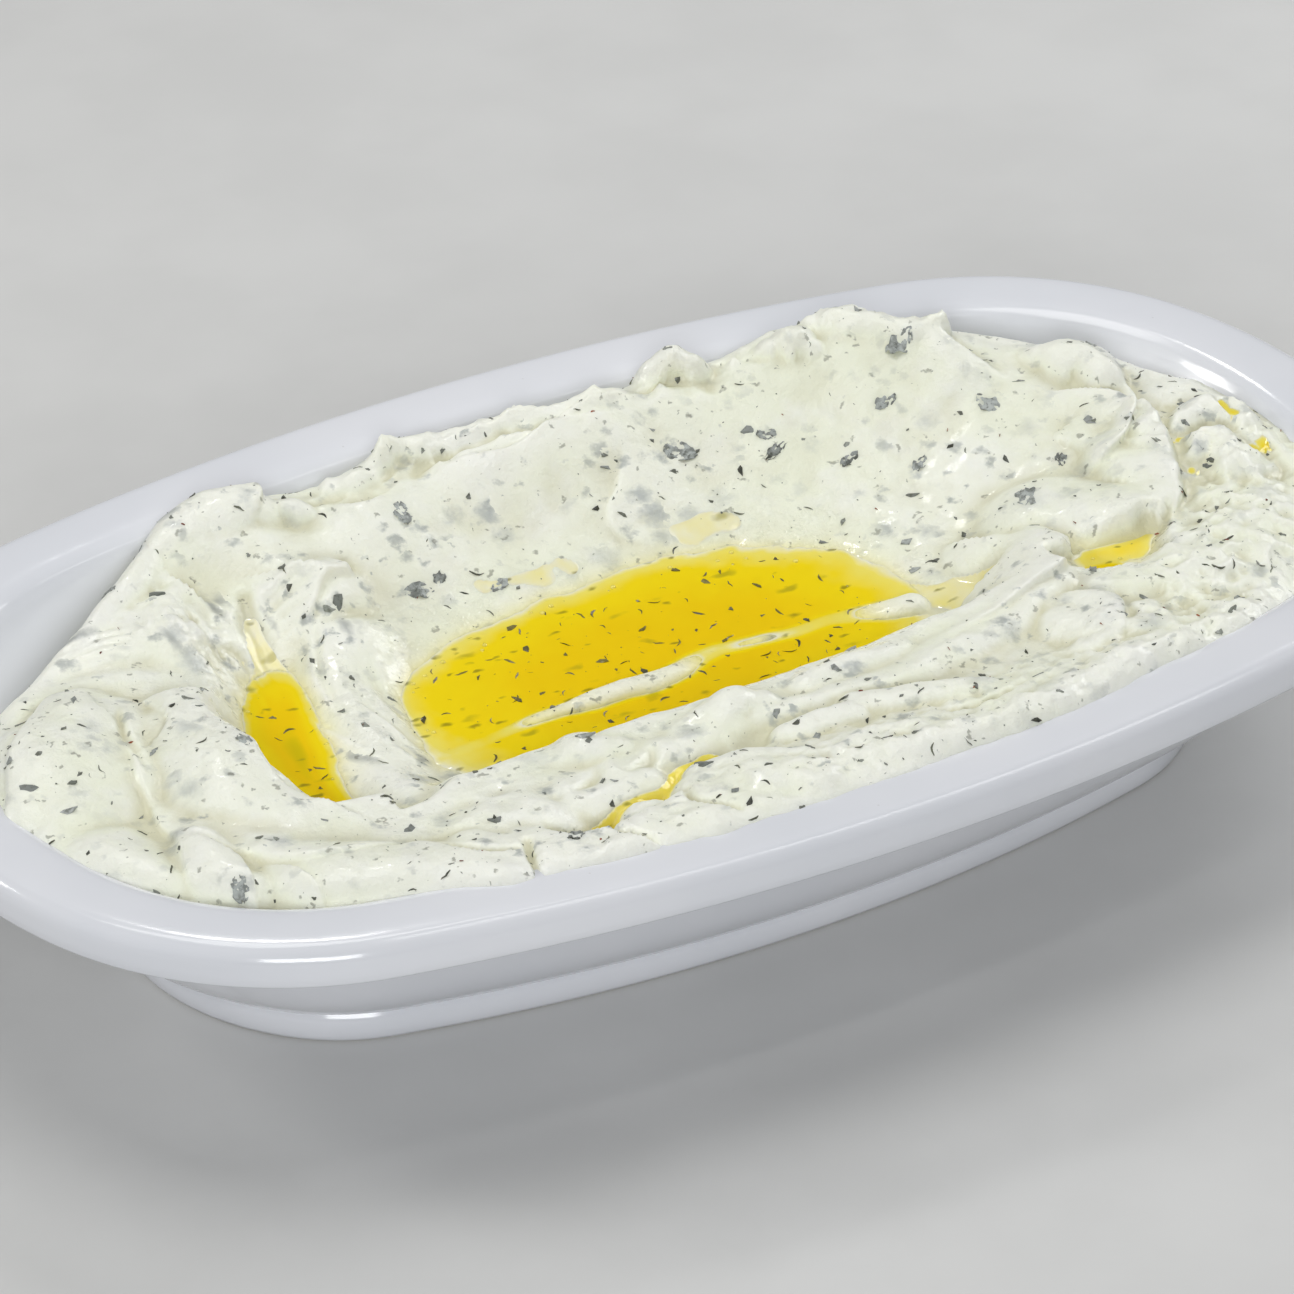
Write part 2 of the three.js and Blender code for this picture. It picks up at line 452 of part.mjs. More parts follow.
const EDGE_ROOT = 1.5; // the haydari's rounded edge springs from this far under the dish's surface
const EDGE_WIDTH = 5.5; // how far in the rounding of that edge reaches
function surfaceHeight(x, y) {
  const shiftX = 0.9 * waves(x, y, 1.3, 15) + 0.35 * waves(x, y, 4.1, 6);
  const shiftY = 0.9 * waves(x, y, 2.2, 15) + 0.35 * waves(x, y, 5.7, 6);
  const u = x + shiftX;
  const v = y + shiftY;
  const height =
    strokes.reduce((z, stroke) => stroke(z, u, v), sweptHollow(u, v)) + 0.25 * waves(x, y, 6.6, 9);
  const inside = insideContact(x + 0.4 * shiftX, y + 0.4 * shiftY);
  const root = between(dishHeights, insideRim(x, y)) - EDGE_ROOT;
  if (inside <= 0) return root + inside;
  const rounding = 1 - (1 - clamp(inside / EDGE_WIDTH)) ** 3.2;
  return root + (height - root) * rounding;
}

// ---------------------------------------------------------------- solids bounded by that surface
const GRID_LENGTH = RIM_OVAL.length - 2;
const GRID_WIDTH = RIM_OVAL.width - 2;
const COLUMNS = Math.round(GRID_LENGTH / GRID);
const ROWS = Math.round(GRID_WIDTH / GRID);
const gridX = Array.from({ length: COLUMNS + 1 }, (_, i) => (i / COLUMNS - 0.5) * GRID_LENGTH);
const gridY = Array.from({ length: ROWS + 1 }, (_, j) => (j / ROWS - 0.5) * GRID_WIDTH);
const heights = gridY.map((y) => gridX.map((x) => surfaceHeight(x, y)));

// Everything under the surface, raised by the given amount, down to a flat base.
function underSurface(raise, base) {
  const points = [];
  for (const z of [null, base]) {
    gridY.forEach((y, j) => {
      gridX.forEach((x, i) => points.push(new THREE.Vector3(x, y, z ?? heights[j][i] + raise)));
    });
  }
  const row = gridX.length;
  const level = row * gridY.length;
  const index = [];
  for (let j = 0; j < ROWS; j += 1) {
    for (let i = 0; i < COLUMNS; i += 1) {
      const a = j * row + i;
      // cut each square along the diagonal that bends less, so creases stay crisp
      const [h00, h10, h01, h11] = [
        heights[j][i], heights[j][i + 1], heights[j + 1][i], heights[j + 1][i + 1],
      ];
      const corners =
        Math.abs(h00 - h11) < Math.abs(h10 - h01)
          ? [a, a + 1, a + row + 1, a, a + row + 1, a + row]
          : [a, a + 1, a + row, a + 1, a + row + 1, a + row];
      index.push(...corners);
      const under = a + level;
      index.push(under, under + row, under + 1, under + 1, under + row, under + row + 1);
    }
  }
  const rim = [];
  for (let i = 0; i < COLUMNS; i += 1) rim.push(i);
  for (let j = 0; j < ROWS; j += 1) rim.push(j * row + COLUMNS);
  for (let i = COLUMNS; i > 0; i -= 1) rim.push(ROWS * row + i);
  for (let j = ROWS; j > 0; j -= 1) rim.push(j * row);
  rim.forEach((a, k) => {
    const b = rim[(k + 1) % rim.length];
    index.push(a, a + level, b, b, a + level, b + level);
  });
  return solidFrom(points, index);
}

const biggest = (solid) => solid.decompose().sort((a, b) => b.volume() - a.volume())[0];
const haydariSolid = biggest(underSurface(0, -5).intersect(room)).simplify(0.05);
const haydariAndGap = underSurface(GAP + 0.1, -6);

// Oil fills a low place up to its level: a block with that flat top, less the haydari under it.
function oilIn(left, right, near, far, level) {
  const block = new THREE.BoxGeometry(right - left, far - near, 12);
  block.translate((left + right) / 2, (near + far) / 2, level - 6);
  const position = block.getAttribute("position");
  const points = [];
  const seen = new Map();
  const index = Array.from(block.index.array, (i) => {
    const p = new THREE.Vector3().fromBufferAttribute(position, i);
    const key = p.toArray().join();
    if (!seen.has(key)) seen.set(key, points.push(p) - 1);
    return seen.get(key);
  });
  return biggest(solidFrom(points, index).subtract(haydariAndGap)).simplify(0.05);
}
const poolSolid = oilIn(-43, 42, -24, 26, POOL_LEVEL);
const streakSolid = oilIn(-63, -47, -22, 22, STREAK_LEVEL);
const pocketSolid = oilIn(54, 72, -24, -10, POCKET_LEVEL);

// ---------------------------------------------------------------- meshes
const glazed = new THREE.MeshStandardMaterial({ color: 0xf0f0f6, roughness: 0.16, metalness: 0 });
const creamy = new THREE.MeshStandardMaterial({ color: 0xeeefdf, roughness: 0.34, metalness: 0 });
const oily = new THREE.MeshStandardMaterial({ color: 0xe6c800, roughness: 0.05, metalness: 0 });

function meshOf(name, solid, material) {
  const { numProp, vertProperties, triVerts } = solid.getMesh();
  const position = new Float32Array((vertProperties.length / numProp) * 3);
  for (let i = 0; i * numProp < vertProperties.length; i += 1) {
    position.set(vertProperties.subarray(i * numProp, i * numProp + 3), i * 3);
  }
  const geometry = new THREE.BufferGeometry();
  geometry.setAttribute("position", new THREE.BufferAttribute(position, 3));
  geometry.setIndex(new THREE.BufferAttribute(triVerts, 1));
  geometry.computeVertexNormals();
  const mesh = new THREE.Mesh(geometry, material);
  mesh.name = name;
  return mesh;
}

const haydariInDish = new THREE.Group();
haydariInDish.name = "haydari_in_dish";
haydariInDish.add(
  meshOf("dish", dishSolid, glazed),
  meshOf("haydari", haydariSolid, creamy),
  meshOf("oil_pool", poolSolid, oily),
  meshOf("oil_streak", streakSolid, oily),
  meshOf("oil_pocket", pocketSolid, oily),
);

export default haydariInDish;
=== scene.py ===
import math

import bpy
import numpy as np
from mathutils import Matrix, Vector


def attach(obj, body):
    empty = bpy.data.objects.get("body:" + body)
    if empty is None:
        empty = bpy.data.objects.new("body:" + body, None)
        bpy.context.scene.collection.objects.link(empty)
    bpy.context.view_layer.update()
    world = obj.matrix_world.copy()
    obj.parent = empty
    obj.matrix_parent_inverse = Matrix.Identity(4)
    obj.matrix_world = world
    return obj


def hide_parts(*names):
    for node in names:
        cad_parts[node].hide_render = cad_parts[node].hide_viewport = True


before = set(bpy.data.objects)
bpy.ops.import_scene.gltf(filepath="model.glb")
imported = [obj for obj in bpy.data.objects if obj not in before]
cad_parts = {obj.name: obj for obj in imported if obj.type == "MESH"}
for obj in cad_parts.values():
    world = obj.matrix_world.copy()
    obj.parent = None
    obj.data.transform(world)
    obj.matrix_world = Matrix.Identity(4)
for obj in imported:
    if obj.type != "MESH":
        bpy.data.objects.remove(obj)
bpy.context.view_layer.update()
MM = 0.001


# ------------------------------------------------------------------ the dish
# The real piece is a long oval meze dish of hard white porcelain, pressed in one, with a broad rolled
# rim and a beaded foot ring. It is dipped in a clear gloss glaze, which is wiped off under the foot.

RIM_OVAL = {"length": 222.6, "width": 131.4, "side": 331.7, "corner": 49.3, "end": 75.3}
FOOT_OVAL = {"length": 162.0, "width": 76.6, "side": 245.0, "corner": 26.0, "end": 34.0}
FOOT_INSET = 29.8  # from the rim's outermost edge in to the foot's own oval
RIM_TOP = 35.5
ARC_STEPS = {"side": 30, "corner": 20, "end": 14}

# Each point is [distance inside the rim's outermost edge, height, share of the foot's own oval].
INNER_WALL = [
    [37.3, 6.5, 1], [32.3, 7.2, 1], [28.3, 9.2, 0.85], [24.3, 13.6, 0.65], [21.3, 18.3, 0.45],
    [15.3, 28.6, 0.1], [13.3, 31.9, 0], [12.3, 33.4, 0], [11.1, 34.6, 0], [8.8, 35.3, 0], [3, RIM_TOP, 0],
]
OUTER_WALL = [
    [1.3, 35.0, 0], [0.3, 33.9, 0], [0, 32.4, 0], [0, 30.8, 0], [0.7, 29.7, 0], [4, 29.0, 0],
    [10.3, 28.6, 0], [13.8, 25, 0.15], [17.3, 18.5, 0.4], [21.3, 11.5, 0.7], [26.2, 6.9, 1],
    [29.4, 5.7, 1],
]
FOOT_RING = [
    [30.1, 5.2, 1], [30.0, 4.8, 1], [29.4, 4.2, 1], [29.1, 3.2, 1], [29.1, 2.0, 1], [29.3, 0.9, 1],
    [29.7, 0.25, 1], [30.2, 0, 1], [32.9, 0, 1], [33.4, 0.2, 1], [33.8, 0.9, 1], [34.6, 2.4, 1],
    [35.6, 2.8, 1], [37.5, 2.8, 1],
]


def arc_centres(oval):
    """Centres of the side, corner and end arcs of an oval's first quarter."""
    side = np.array([0.0, oval["width"] / 2 - oval["side"]])
    end = np.array([oval["length"] / 2 - oval["end"], 0.0])
    from_side = oval["side"] - oval["corner"]
    from_end = oval["end"] - oval["corner"]
    span = np.hypot(*(side - end))
    along = (from_side ** 2 - from_end ** 2 + span ** 2) / (2 * span)
    across = math.sqrt(from_side ** 2 - along ** 2)
    unit = (end - side) / span
    corner = side + unit * along + np.array([unit[1], -unit[0]]) * across
    return {"side": side, "corner": corner, "end": end}


def oval_spokes(oval):
    """Once round an oval: the arc's centre, its radius and the outward direction at each step."""
    centres = arc_centres(oval)
    angle = lambda towards, origin: math.atan2(*(centres[towards] - centres[origin])[::-1])
    stops = [math.pi / 2, angle("corner", "side"), angle("corner", "end"), 0.0]
    quarter = []
    for arc, start, stop in zip(("side", "corner", "end"), stops, stops[1:]):
        for k in range(ARC_STEPS[arc]):
            turn = start + (stop - start) * k / ARC_STEPS[arc]
            quarter.append([*centres[arc], oval[arc], math.cos(turn), math.sin(turn)])
    quarter.append([*centres["end"], oval["end"], 1.0, 0.0])
    quarter = np.array(quarter)
    flip_y, flip_x = np.array([1, -1, 1, 1, -1]), np.array([-1, 1, 1, -1, 1])
    far_half = [quarter[:-1], (quarter * flip_y)[:0:-1]]
    return np.vstack(far_half + [(part * flip_y * flip_x) for part in far_half])


RIM_SPOKES, FOOT_SPOKES = oval_spokes(RIM_OVAL), oval_spokes(FOOT_OVAL)


def oval_ring(inset, z, foot_share):
    def at(spokes, by):
        return spokes[:, :2] + (spokes[:, 2:3] - by) * spokes[:, 3:]
    flat = at(RIM_SPOKES, inset) * (1 - foot_share) + at(FOOT_SPOKES, inset - FOOT_INSET) * foot_share
    return np.column_stack([flat, np.full(len(flat), z)])


def smooth_path(points, steps):
    """A smooth curve through rows of numbers; every column is carried along."""
    points = np.asarray(points, float)
    last = len(points) - 1
    t = np.linspace(0, last, steps + 1)
    if last == 1:
        return points[0] + (points[1] - points[0]) * t[:, None]
    q = np.vstack([2 * points[0] - points[1], points, 2 * points[-1] - points[-2]])
    i = np.minimum(t.astype(int), last - 1)
    f = (t - i)[:, None]
    a, b, c, d = q[i], q[i + 1], q[i + 2], q[i + 3]
    bend, twist = 2 * a - 5 * b + 4 * c - d, 3 * b - a - 3 * c + d
    return 0.5 * (2 * b + (c - a) * f + bend * f ** 2 + twist * f ** 3)


def mesh_piece(name, points, faces, material, smooth=True):
    """A mesh object from points in millimetres."""
    mesh = bpy.data.meshes.new(name)
    mesh.from_pydata((np.asarray(points) * MM).tolist(), [], faces)
    mesh.polygons.foreach_set("use_smooth", np.full(len(mesh.polygons), smooth))
    mesh.materials.append(material)
    mesh.update()
    piece = bpy.data.objects.new(name, mesh)
    bpy.context.scene.collection.objects.link(piece)
    return piece


class Value:
    """One output of a material's node; arithmetic on it adds Math nodes."""

    def __init__(self, finish, socket):
        self.finish, self.socket = finish, socket

    def _math(self, operation, *terms, clamp=False):
        settings = {"operation": operation, "use_clamp": clamp}
        return self.finish.node("ShaderNodeMath", settings, dict(enumerate(terms)))

    def __add__(self, other): return self._math("ADD", self, other)
    def __sub__(self, other): return self._math("SUBTRACT", self, other)
    def __rsub__(self, other): return self._math("SUBTRACT", other, self)
    def __mul__(self, other): return self._math("MULTIPLY", self, other)
    def __truediv__(self, other): return self._math("DIVIDE", self, other)
    def __neg__(self): return self._math("MULTIPLY", self, -1.0)
    __radd__, __rmul__ = __add__, __mul__
    def over(self, other): return self._math("MAXIMUM", self, other)
    def clamped(self): return self._math("ADD", self, 0.0, clamp=True)

    def beside(self, output):
        """Another output of the same node."""
        return Value(self.finish, self.socket.node.outputs[output])

    def rise(self, low, high):
        """0 up to low, 1 from high on, and smooth between."""
        settings = {"interpolation_type": "SMOOTHSTEP"}
        return self.finish.node("ShaderNodeMapRange", settings, {"Value": self, 1: low, 2: high})


class Finish:
    """A material on the Principled shader, with its nodes added by name."""

    def __init__(self, name, **constants):
        self.material = bpy.data.materials.new(name)
        self.material.use_nodes = True
        self.tree = self.material.node_tree
        self.shader = next(n for n in self.tree.nodes if n.type == "BSDF_PRINCIPLED")
        for socket, value in constants.items():
            self.shader.inputs[socket.replace("_", " ")].default_value = value
        self.place = self.node("ShaderNodeTexCoord", output="Object")

    def node(self, kind, settings=None, inputs=None, output=0):
        new = self.tree.nodes.new(kind)
        for key, value in (settings or {}).items():
            setattr(new, key, value)
        for key, value in (inputs or {}).items():
            if isinstance(value, Value):
                self.tree.links.new(value.socket, new.inputs[key])
            else:
                new.inputs[key].default_value = value
        return Value(self, new.outputs[output])

    def noise(self, size_mm, detail=2.0, rough=0.5, output=0):
        inputs = {"Vector": self.place, "Scale": 1 / (size_mm * MM), "Detail": detail, "Roughness": rough}
        return self.node("ShaderNodeTexNoise", {}, inputs, output)

    def mix(self, share, plain, changed):
        settings = {"data_type": "RGBA"}
        colour = lambda c: c if isinstance(c, Value) else (*c, 1.0)
        inputs = {0: share, 6: colour(plain), 7: colour(changed)}
        return self.node("ShaderNodeMix", settings, inputs, output=2)

    def bump(self, height, depth_mm):
        inputs = {"Height": height, "Distance": depth_mm * MM, "Strength": 1.0}
        return self.node("ShaderNodeBump", {}, inputs)

    def feed(self, **values):
        for socket, value in values.items():
            self.tree.links.new(value.socket, self.shader.inputs[socket.replace("_", " ")])
        return self.material


def glaze_finish():
    glaze = Finish("white_glaze", IOR=1.52, Coat_Roughness=0.04)
    clouds = glaze.noise(38, detail=3.0)
    thin_edge = glaze.noise(6, detail=2.0)
    height = glaze.node("ShaderNodeSeparateXYZ", {}, {0: glaze.place}, output="Z")
    bare = 1.0 - height.rise(0.05 * MM, 0.45 * MM)
    white = glaze.mix(clouds.rise(0.35, 0.7), (0.70, 0.715, 0.755), (0.745, 0.755, 0.79))
    colour = glaze.mix(bare, white, (0.62, 0.60, 0.56))
    pinholes = glaze.node("ShaderNodeTexVoronoi", {}, {"Vector": glaze.place, "Scale": 1 / (7 * MM)})
    pin = 1.0 - pinholes.rise(0.008, 0.03)
    colour = glaze.mix(pin * 0.35, colour, (0.45, 0.43, 0.42))
    ripple = glaze.noise(5.5, detail=1.0) * 0.7 + thin_edge * 0.3
    rough = 0.1 + clouds * 0.06 + bare * 0.5
    return glaze.feed(Base_Color=colour, Roughness=rough, Normal=glaze.bump(ripple, 0.05))


def dish_piece():
    walls = smooth_path(INNER_WALL + OUTER_WALL, 5 * (len(INNER_WALL + OUTER_WALL) - 1))
    profile = np.vstack([walls, FOOT_RING])
    rings = [oval_ring(*row) for row in profile]
    around = len(rings[0])
    points = np.vstack(rings + [[[0, 0, INNER_WALL[0][1]]], [[0, 0, FOOT_RING[-1][1]]]])
    faces = []
    for r in range(len(rings) - 1):
        for k in range(around):
            a, b = r * around + k, r * around + (k + 1) % around
            faces.append((a, a + around, b + around, b))
    last = (len(rings) - 1) * around
    floor_hub, under_hub = len(points) - 2, len(points) - 1
    for k in range(around):
        after = (k + 1) % around
        faces.append((floor_hub, k, after))
        faces.append((under_hub, last + after, last + k))
    return mesh_piece("porcelain_dish", points, faces, glaze_finish())


dish = dish_piece()
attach(dish, "root")
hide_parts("dish")


# ------------------------------------------------------------------ the haydari
# The real piece is strained yogurt beaten with garlic, dried mint and dill. It is spooned in as one
# heap, swept into a long hollow with the back of the spoon, and every stroke leaves a lip or a lobe.

# Where it meets the dish, once round, seen from above.
CONTACT = np.array([
    [-102, -9.5], [-98, -23], [-87.5, -35], [-73.5, -46], [-52.5, -55], [-25, -58.5], [2.5, -59],
    [33.5, -56.5], [64.5, -50.5], [88, -36], [96, -26], [100, -12], [100.5, 2], [98, 14], [91, 25],
    [80, 35], [68, 43.5], [58, 49], [46, 51.5], [30, 52], [-10, 53], [-30, 52.5], [-38, 54], [-46, 53.5],
    [-53, 51], [-59, 46.5], [-66, 41], [-76, 34], [-92, 22], [-98, 12], [-102.5, -5],
])
CREST = np.array([
    [-60, 34.5], [-35, 34.3], [-22, 34.6], [-5, 35.4], [15, 36], [30, 36.3], [38, 36.8], [46, 38.8],
    [56, 39.8], [63, 39], [68, 37.2], [76, 36.4], [90, 34.6],
])
EDGE_ROOT = 1.5  # its rounded edge springs from this far under the dish's surface
EDGE_WIDTH = 5.5
GRAIN = 0.47  # spacing of the surface's points
PATH_STEPS = 24


def smooth_step(low, high, value):
    t = np.clip((value - low) / (high - low), 0, 1)
    return t * t * (3 - 2 * t)


def soft_max(a, b, soft):
    """The higher of two heights, blended where they differ by less than soft."""
    t = np.clip(0.5 + 0.5 * (a - b) / soft, 0, 1)
    return b + (a - b) * t + soft * t * (1 - t)


def soft_min(a, b, soft):
    return -soft_max(-a, -b, soft)


def waves(x, y, seed, size):
    """Uneven waves between about -1 and 1, of this size in millimetres; the seed picks the pattern."""
    total = 0
    for k in range(6):
        a = seed * 1.7 + k * 2.399
        f = (1 + 0.31 * k) / size * 2.1
        bend = (x * math.sin(a * 1.3) - y * math.cos(a * 1.3)) * f * 0.6 + k
        run = (x * math.cos(a) + y * math.sin(a)) * f + seed * 3.1 + k * 1.3
        total = total + np.sin(run + 0.8 * np.sin(bend)) / (1 + 0.35 * k)
    return total / 2.6


class Heap:
    """The haydari's surface while it is worked: height, and how far each point is pushed sideways."""

    def __init__(self, x, y, height):
        self.x, self.y, self.height = x, y, height
        self.push = np.zeros((len(x), 2))
        self.combed = np.zeros((len(x), 3))  # distance across and along the drag marks, and how strong

    def near(self, points, reach):
        """Points within reach of a path: their numbers, distance, side, share along, values, direction."""
        path = smooth_path(points, PATH_STEPS)
        low, high = path[:, :2].min(0) - reach, path[:, :2].max(0) + reach
        inside = (self.x > low[0]) & (self.x < high[0]) & (self.y > low[1]) & (self.y < high[1])
        which = np.flatnonzero(inside)
        x, y = self.x[which], self.y[which]
        best = np.full(len(which), 1e9)
        side, share, way = np.ones(len(which)), np.zeros(len(which)), np.zeros((len(which), 2))
        for k in range(PATH_STEPS):
            a, b = path[k, :2], path[k + 1, :2]
            d = b - a
            f = np.clip(((x - a[0]) * d[0] + (y - a[1]) * d[1]) / (d @ d + 1e-9), 0, 1)
            distance = np.hypot(x - a[0] - f * d[0], y - a[1] - f * d[1])
            closer = distance < best
            best[closer] = distance[closer]
            share[closer] = (k + f[closer]) / PATH_STEPS
            side[closer] = np.sign(d[0] * (y - a[1]) - d[1] * (x - a[0]))[closer]
            way[closer] = d / (np.hypot(*d) + 1e-9)
        steps = np.linspace(0, 1, PATH_STEPS + 1)
        values = [np.interp(share, steps, column) for column in path[:, 2:].T]
        return which, best, side, share, values, way

    def mound(self, points, soft=0.5, power=2.0):
        """Piles haydari along the path [x, y, height, width (left), width (right)]."""
        points = [p if len(p) > 4 else [*p, p[3]] for p in points]
        which, d, side, _, (z, left, right), _ = self.near(points, 3.2 * max(max(p[3:]) for p in points))
        width = np.where(side > 0, left, right)
        self.height[which] = soft_max(self.height[which], z - 3 * (d / width) ** power, soft)

    def scoop(self, points, soft=0.7):
        """Takes haydari away along the path [x, y, height, width (left), width (right)]."""
        points = [p if len(p) > 4 else [*p, p[3]] for p in points]
        which, d, side, _, (z, left, right), _ = self.near(points, 3 * max(max(p[3:]) for p in points))
        width = np.where(side > 0, left, right)
        self.height[which] = soft_min(self.height[which], z + 3 * (d / width) ** 2, soft)

    def fold(self, points, steep=1.4, lean=0.0):
        """A lip [x, y, height, width] that fades out to the left and drops off sharply to the right,
        and leans over that way."""
        which, d, side, _, (rise, width), way = self.near(points, 3 * max(p[3] for p in points))
        drop = 1 - smooth_step(0, steep, d)
        self.height[which] += rise * np.where(side > 0, np.exp(-(d / width) ** 2), drop)
        over = rise * lean * np.where(side > 0, np.exp(-(d / (0.6 * width)) ** 2), drop)
        self.push[which] += over[:, None] * np.column_stack([way[:, 1], -way[:, 0]])

    def tip(self, x, y, rise, width, lean=(0, 0)):
        """A small peak, drawn up where the spoon left, that leans over by lean."""
        d = np.hypot(self.x - x, self.y - y)
        self.height += rise * np.exp(-d / width)
        self.push += np.exp(-(d / width) ** 2)[:, None] * np.array(lean)

    def drag(self, points, depth, spacing):
        """Fine ridges that the spoon drags along the path [x, y, width]."""
        which, d, side, t, (width,), _ = self.near(points, 1.6 * max(p[2] for p in points))
        q = d * side / spacing
        fade = np.exp(-(d / width) ** 4) * np.clip(4 * t, 0, 1) * np.clip(4 - 4 * t, 0, 1)
        ridges = np.sin(q * 6.28 + 2.2 * np.sin(5 * t + 0.21 * spacing * q) + 1.3 * np.sin(0.9 * q))
        ridges += 0.6 * np.sin(q * 11.3 + 3 * np.sin(4.1 * t) + 2)
        self.height[which] += fade * depth * ridges * (0.55 + 0.45 * np.sin(9 * t + 0.7 * spacing * q))
        length = np.hypot(*np.diff(np.array(points)[:, :2], axis=0).T).sum()
        stronger = fade > self.combed[which, 2]
        marks = np.column_stack([d * side, t * length, fade])
        self.combed[which[stronger]] = marks[stronger]

    def rough(self, points, depth, size, seed=0):
        """A torn, lumpy stretch along the path [x, y, width]."""
        which, d, _, _, (width,), _ = self.near(points, 1.6 * max(p[2] for p in points))
        lumps = waves(self.x[which], self.y[which], 11.3 + seed, size)
        self.height[which] += np.exp(-(d / width) ** 4) * depth * (1 - 2 * np.abs(lumps) ** 0.8)


def spoon_strokes(heap):
    """Every stroke that shows, in the order of the work; paths in millimetres, seen from above."""
    # ridge behind the drag marks
    heap.mound([[-82, 24.5, 32.5, 6], [-73, 25, 34, 7], [-60, 28, 35.2, 9], [-45.5, 33, 35.4, 8],
                [-37, 26.5, 33.6, 7], [-33.5, 22, 28.5, 7]], soft=1.2)
    heap.mound([[-56, 41, 35.4, 8], [-49.5, 41.5, 36.2, 8], [-43, 42.5, 36.2, 7]], soft=1.2)
    # the two big petals on the left
    heap.mound([[-98, -9, 35.6, 13], [-90.5, 0.5, 37, 14], [-83, 7.5, 36.4, 11]], soft=0.4)
    heap.mound([[-73, 3.5, 35.4, 12, 9], [-72.5, -6.5, 36, 12, 9], [-72.5, -16.5, 35.2, 11, 8],
                [-68.5, -24, 33.6, 8, 6]], soft=0.4)
    # the slope down to the groove that holds the streak of oil
    heap.scoop([[-52, 27.5, 32, 12, 8], [-50.5, 22.5, 29, 12, 7.5], [-51.5, 14.5, 26.3, 12, 8],
                [-54, 5.5, 25, 10.5, 7.5], [-54, -4, 24, 9.5, 6.5], [-54.5, -13, 24.4, 8.5, 5.5]])
    # small petals and broad lumps at the near left
    heap.mound([[-94, -19, 35.8, 9], [-92, -28.5, 35.8, 9]], soft=0.35)
    heap.mound([[-83, -25, 35.4, 6], [-82, -34.5, 35.6, 7]], soft=0.3)
    heap.mound([[-74.5, -30.5, 34.8, 8], [-70, -39, 36.2, 9], [-62.5, -45, 36.6, 9],
                [-53.5, -46.5, 36.4, 8]])
    # the long ridge on the near side of the pool
    heap.mound([[50.5, -6.5, 31, 4, 7], [53, -11, 32.4, 4, 9], [52, -20, 34, 4.5, 9],
                [46, -27.5, 34.8, 4.5, 8], [29.5, -32.5, 34.8, 4.5, 7.5], [10.5, -35, 34.5, 4.5, 7.5],
                [-9.5, -33.5, 34, 5, 7.5], [-28, -35.5, 34.4, 6, 7.5], [-39, -34.5, 33.8, 7, 8],
                [-47.5, -31, 33, 8, 8]], soft=0.35, power=1.7)
    # the valley behind it
    heap.scoop([[26.5, -34, 34.4, 3.4], [15, -37, 33.8, 3.6], [2.5, -36.5, 33.4, 4],
                [-9, -38, 32.6, 4.4], [-20, -40.5, 31.4, 4.4], [-32, -43, 30.6, 4],
                [-38, -43.5, 31.2, 3.4]])
    # lobes between the valley and the near rim
    heap.mound([[-17, -45.5, 35.4, 6], [-13, -48.5, 36.6, 6.6], [-6.5, -52, 36.9, 6.8]], soft=0.4,
                power=3)
    heap.mound([[0, -52, 36.8, 5.5], [13.5, -54, 37.2, 5.5], [31, -53, 37.2, 6.5], [52.5, -50, 37, 7]],
                soft=0.4)
    heap.mound([[-27, -47, 34.8, 5], [-25.5, -51, 36.4, 5.6], [-22.5, -55, 37, 5.4]], soft=0.4, power=3)
    heap.mound([[-42, -51, 36, 6], [-40, -55, 36.9, 6.4], [-35, -55, 37, 5.5]], soft=0.4, power=3)
    heap.mound([[44, -35.5, 35.2, 6.5], [46.5, -39, 35.8, 6]], soft=0.3)
    heap.mound([[50, -43, 35.8, 6.5], [52.5, -46, 35.5, 6]], soft=0.3)
    # the broad heap at the right end
    heap.mound([[56, -29.5, 34.4, 8], [66, -31.5, 35.4, 12], [75.5, -29.5, 35.4, 12],
                [84, -21, 34.8, 11]], soft=0.8)
    # the round lobe at the end of the sweep, and the pocket under it
    heap.mound([[73.5, -1.5, 35, 6], [73, -7.5, 35.4, 7.5], [70.5, -11, 35, 7.5], [66, -9.5, 34.4, 8],
                [62, -5, 33.6, 10]], soft=0.8, power=2.4)
    # lumps behind the curled lip at the far right
    heap.mound([[82.5, 6, 35, 6], [77.5, -3, 35.4, 6]])
    heap.mound([[88, 1.5, 35, 7], [92, -3, 34.6, 7], [90, -12, 34, 7]])
    heap.scoop([[82, -1, 35, 2.5], [81.5, -4.5, 33.8, 3], [78, -10.5, 34, 2.5]], soft=0.4)
    # the ridge that parts the pool
    heap.mound([[-39, -9.5, 25.7, 2], [-31.5, -9.5, 25.5, 2.2], [-21.5, -8.8, 26.6, 2.2],
                [-14.5, -8.6, 27.2, 2.7], [-7.5, -8, 27.3, 2.8], [-1.5, -6.8, 26.9, 2.5],
                [5, -6.2, 25.9, 2.4], [13.5, -7, 26.4, 2.2], [20, -7.6, 25.8, 2.4], [27, -8, 26.3, 3],
                [34.5, -9, 27.5, 3.5]], soft=0.6, power=3)
    # thin lip, then the bank between the streak and the pool
    heap.fold([[-44.5, 17, 0, 5], [-42, 23, 1.2, 6], [-38, 28, 1.5, 7], [-34.5, 29.5, 1.2, 8],
               [-36.5, 34, 0, 8]], lean=0.4)
    heap.mound([[-39.5, 19.5, 31, 7], [-43, 10.5, 29.6, 7], [-46.5, -1, 29, 7], [-49, -12.5, 29.2, 7],
                [-49.5, -23, 30.2, 7]], soft=1.2)
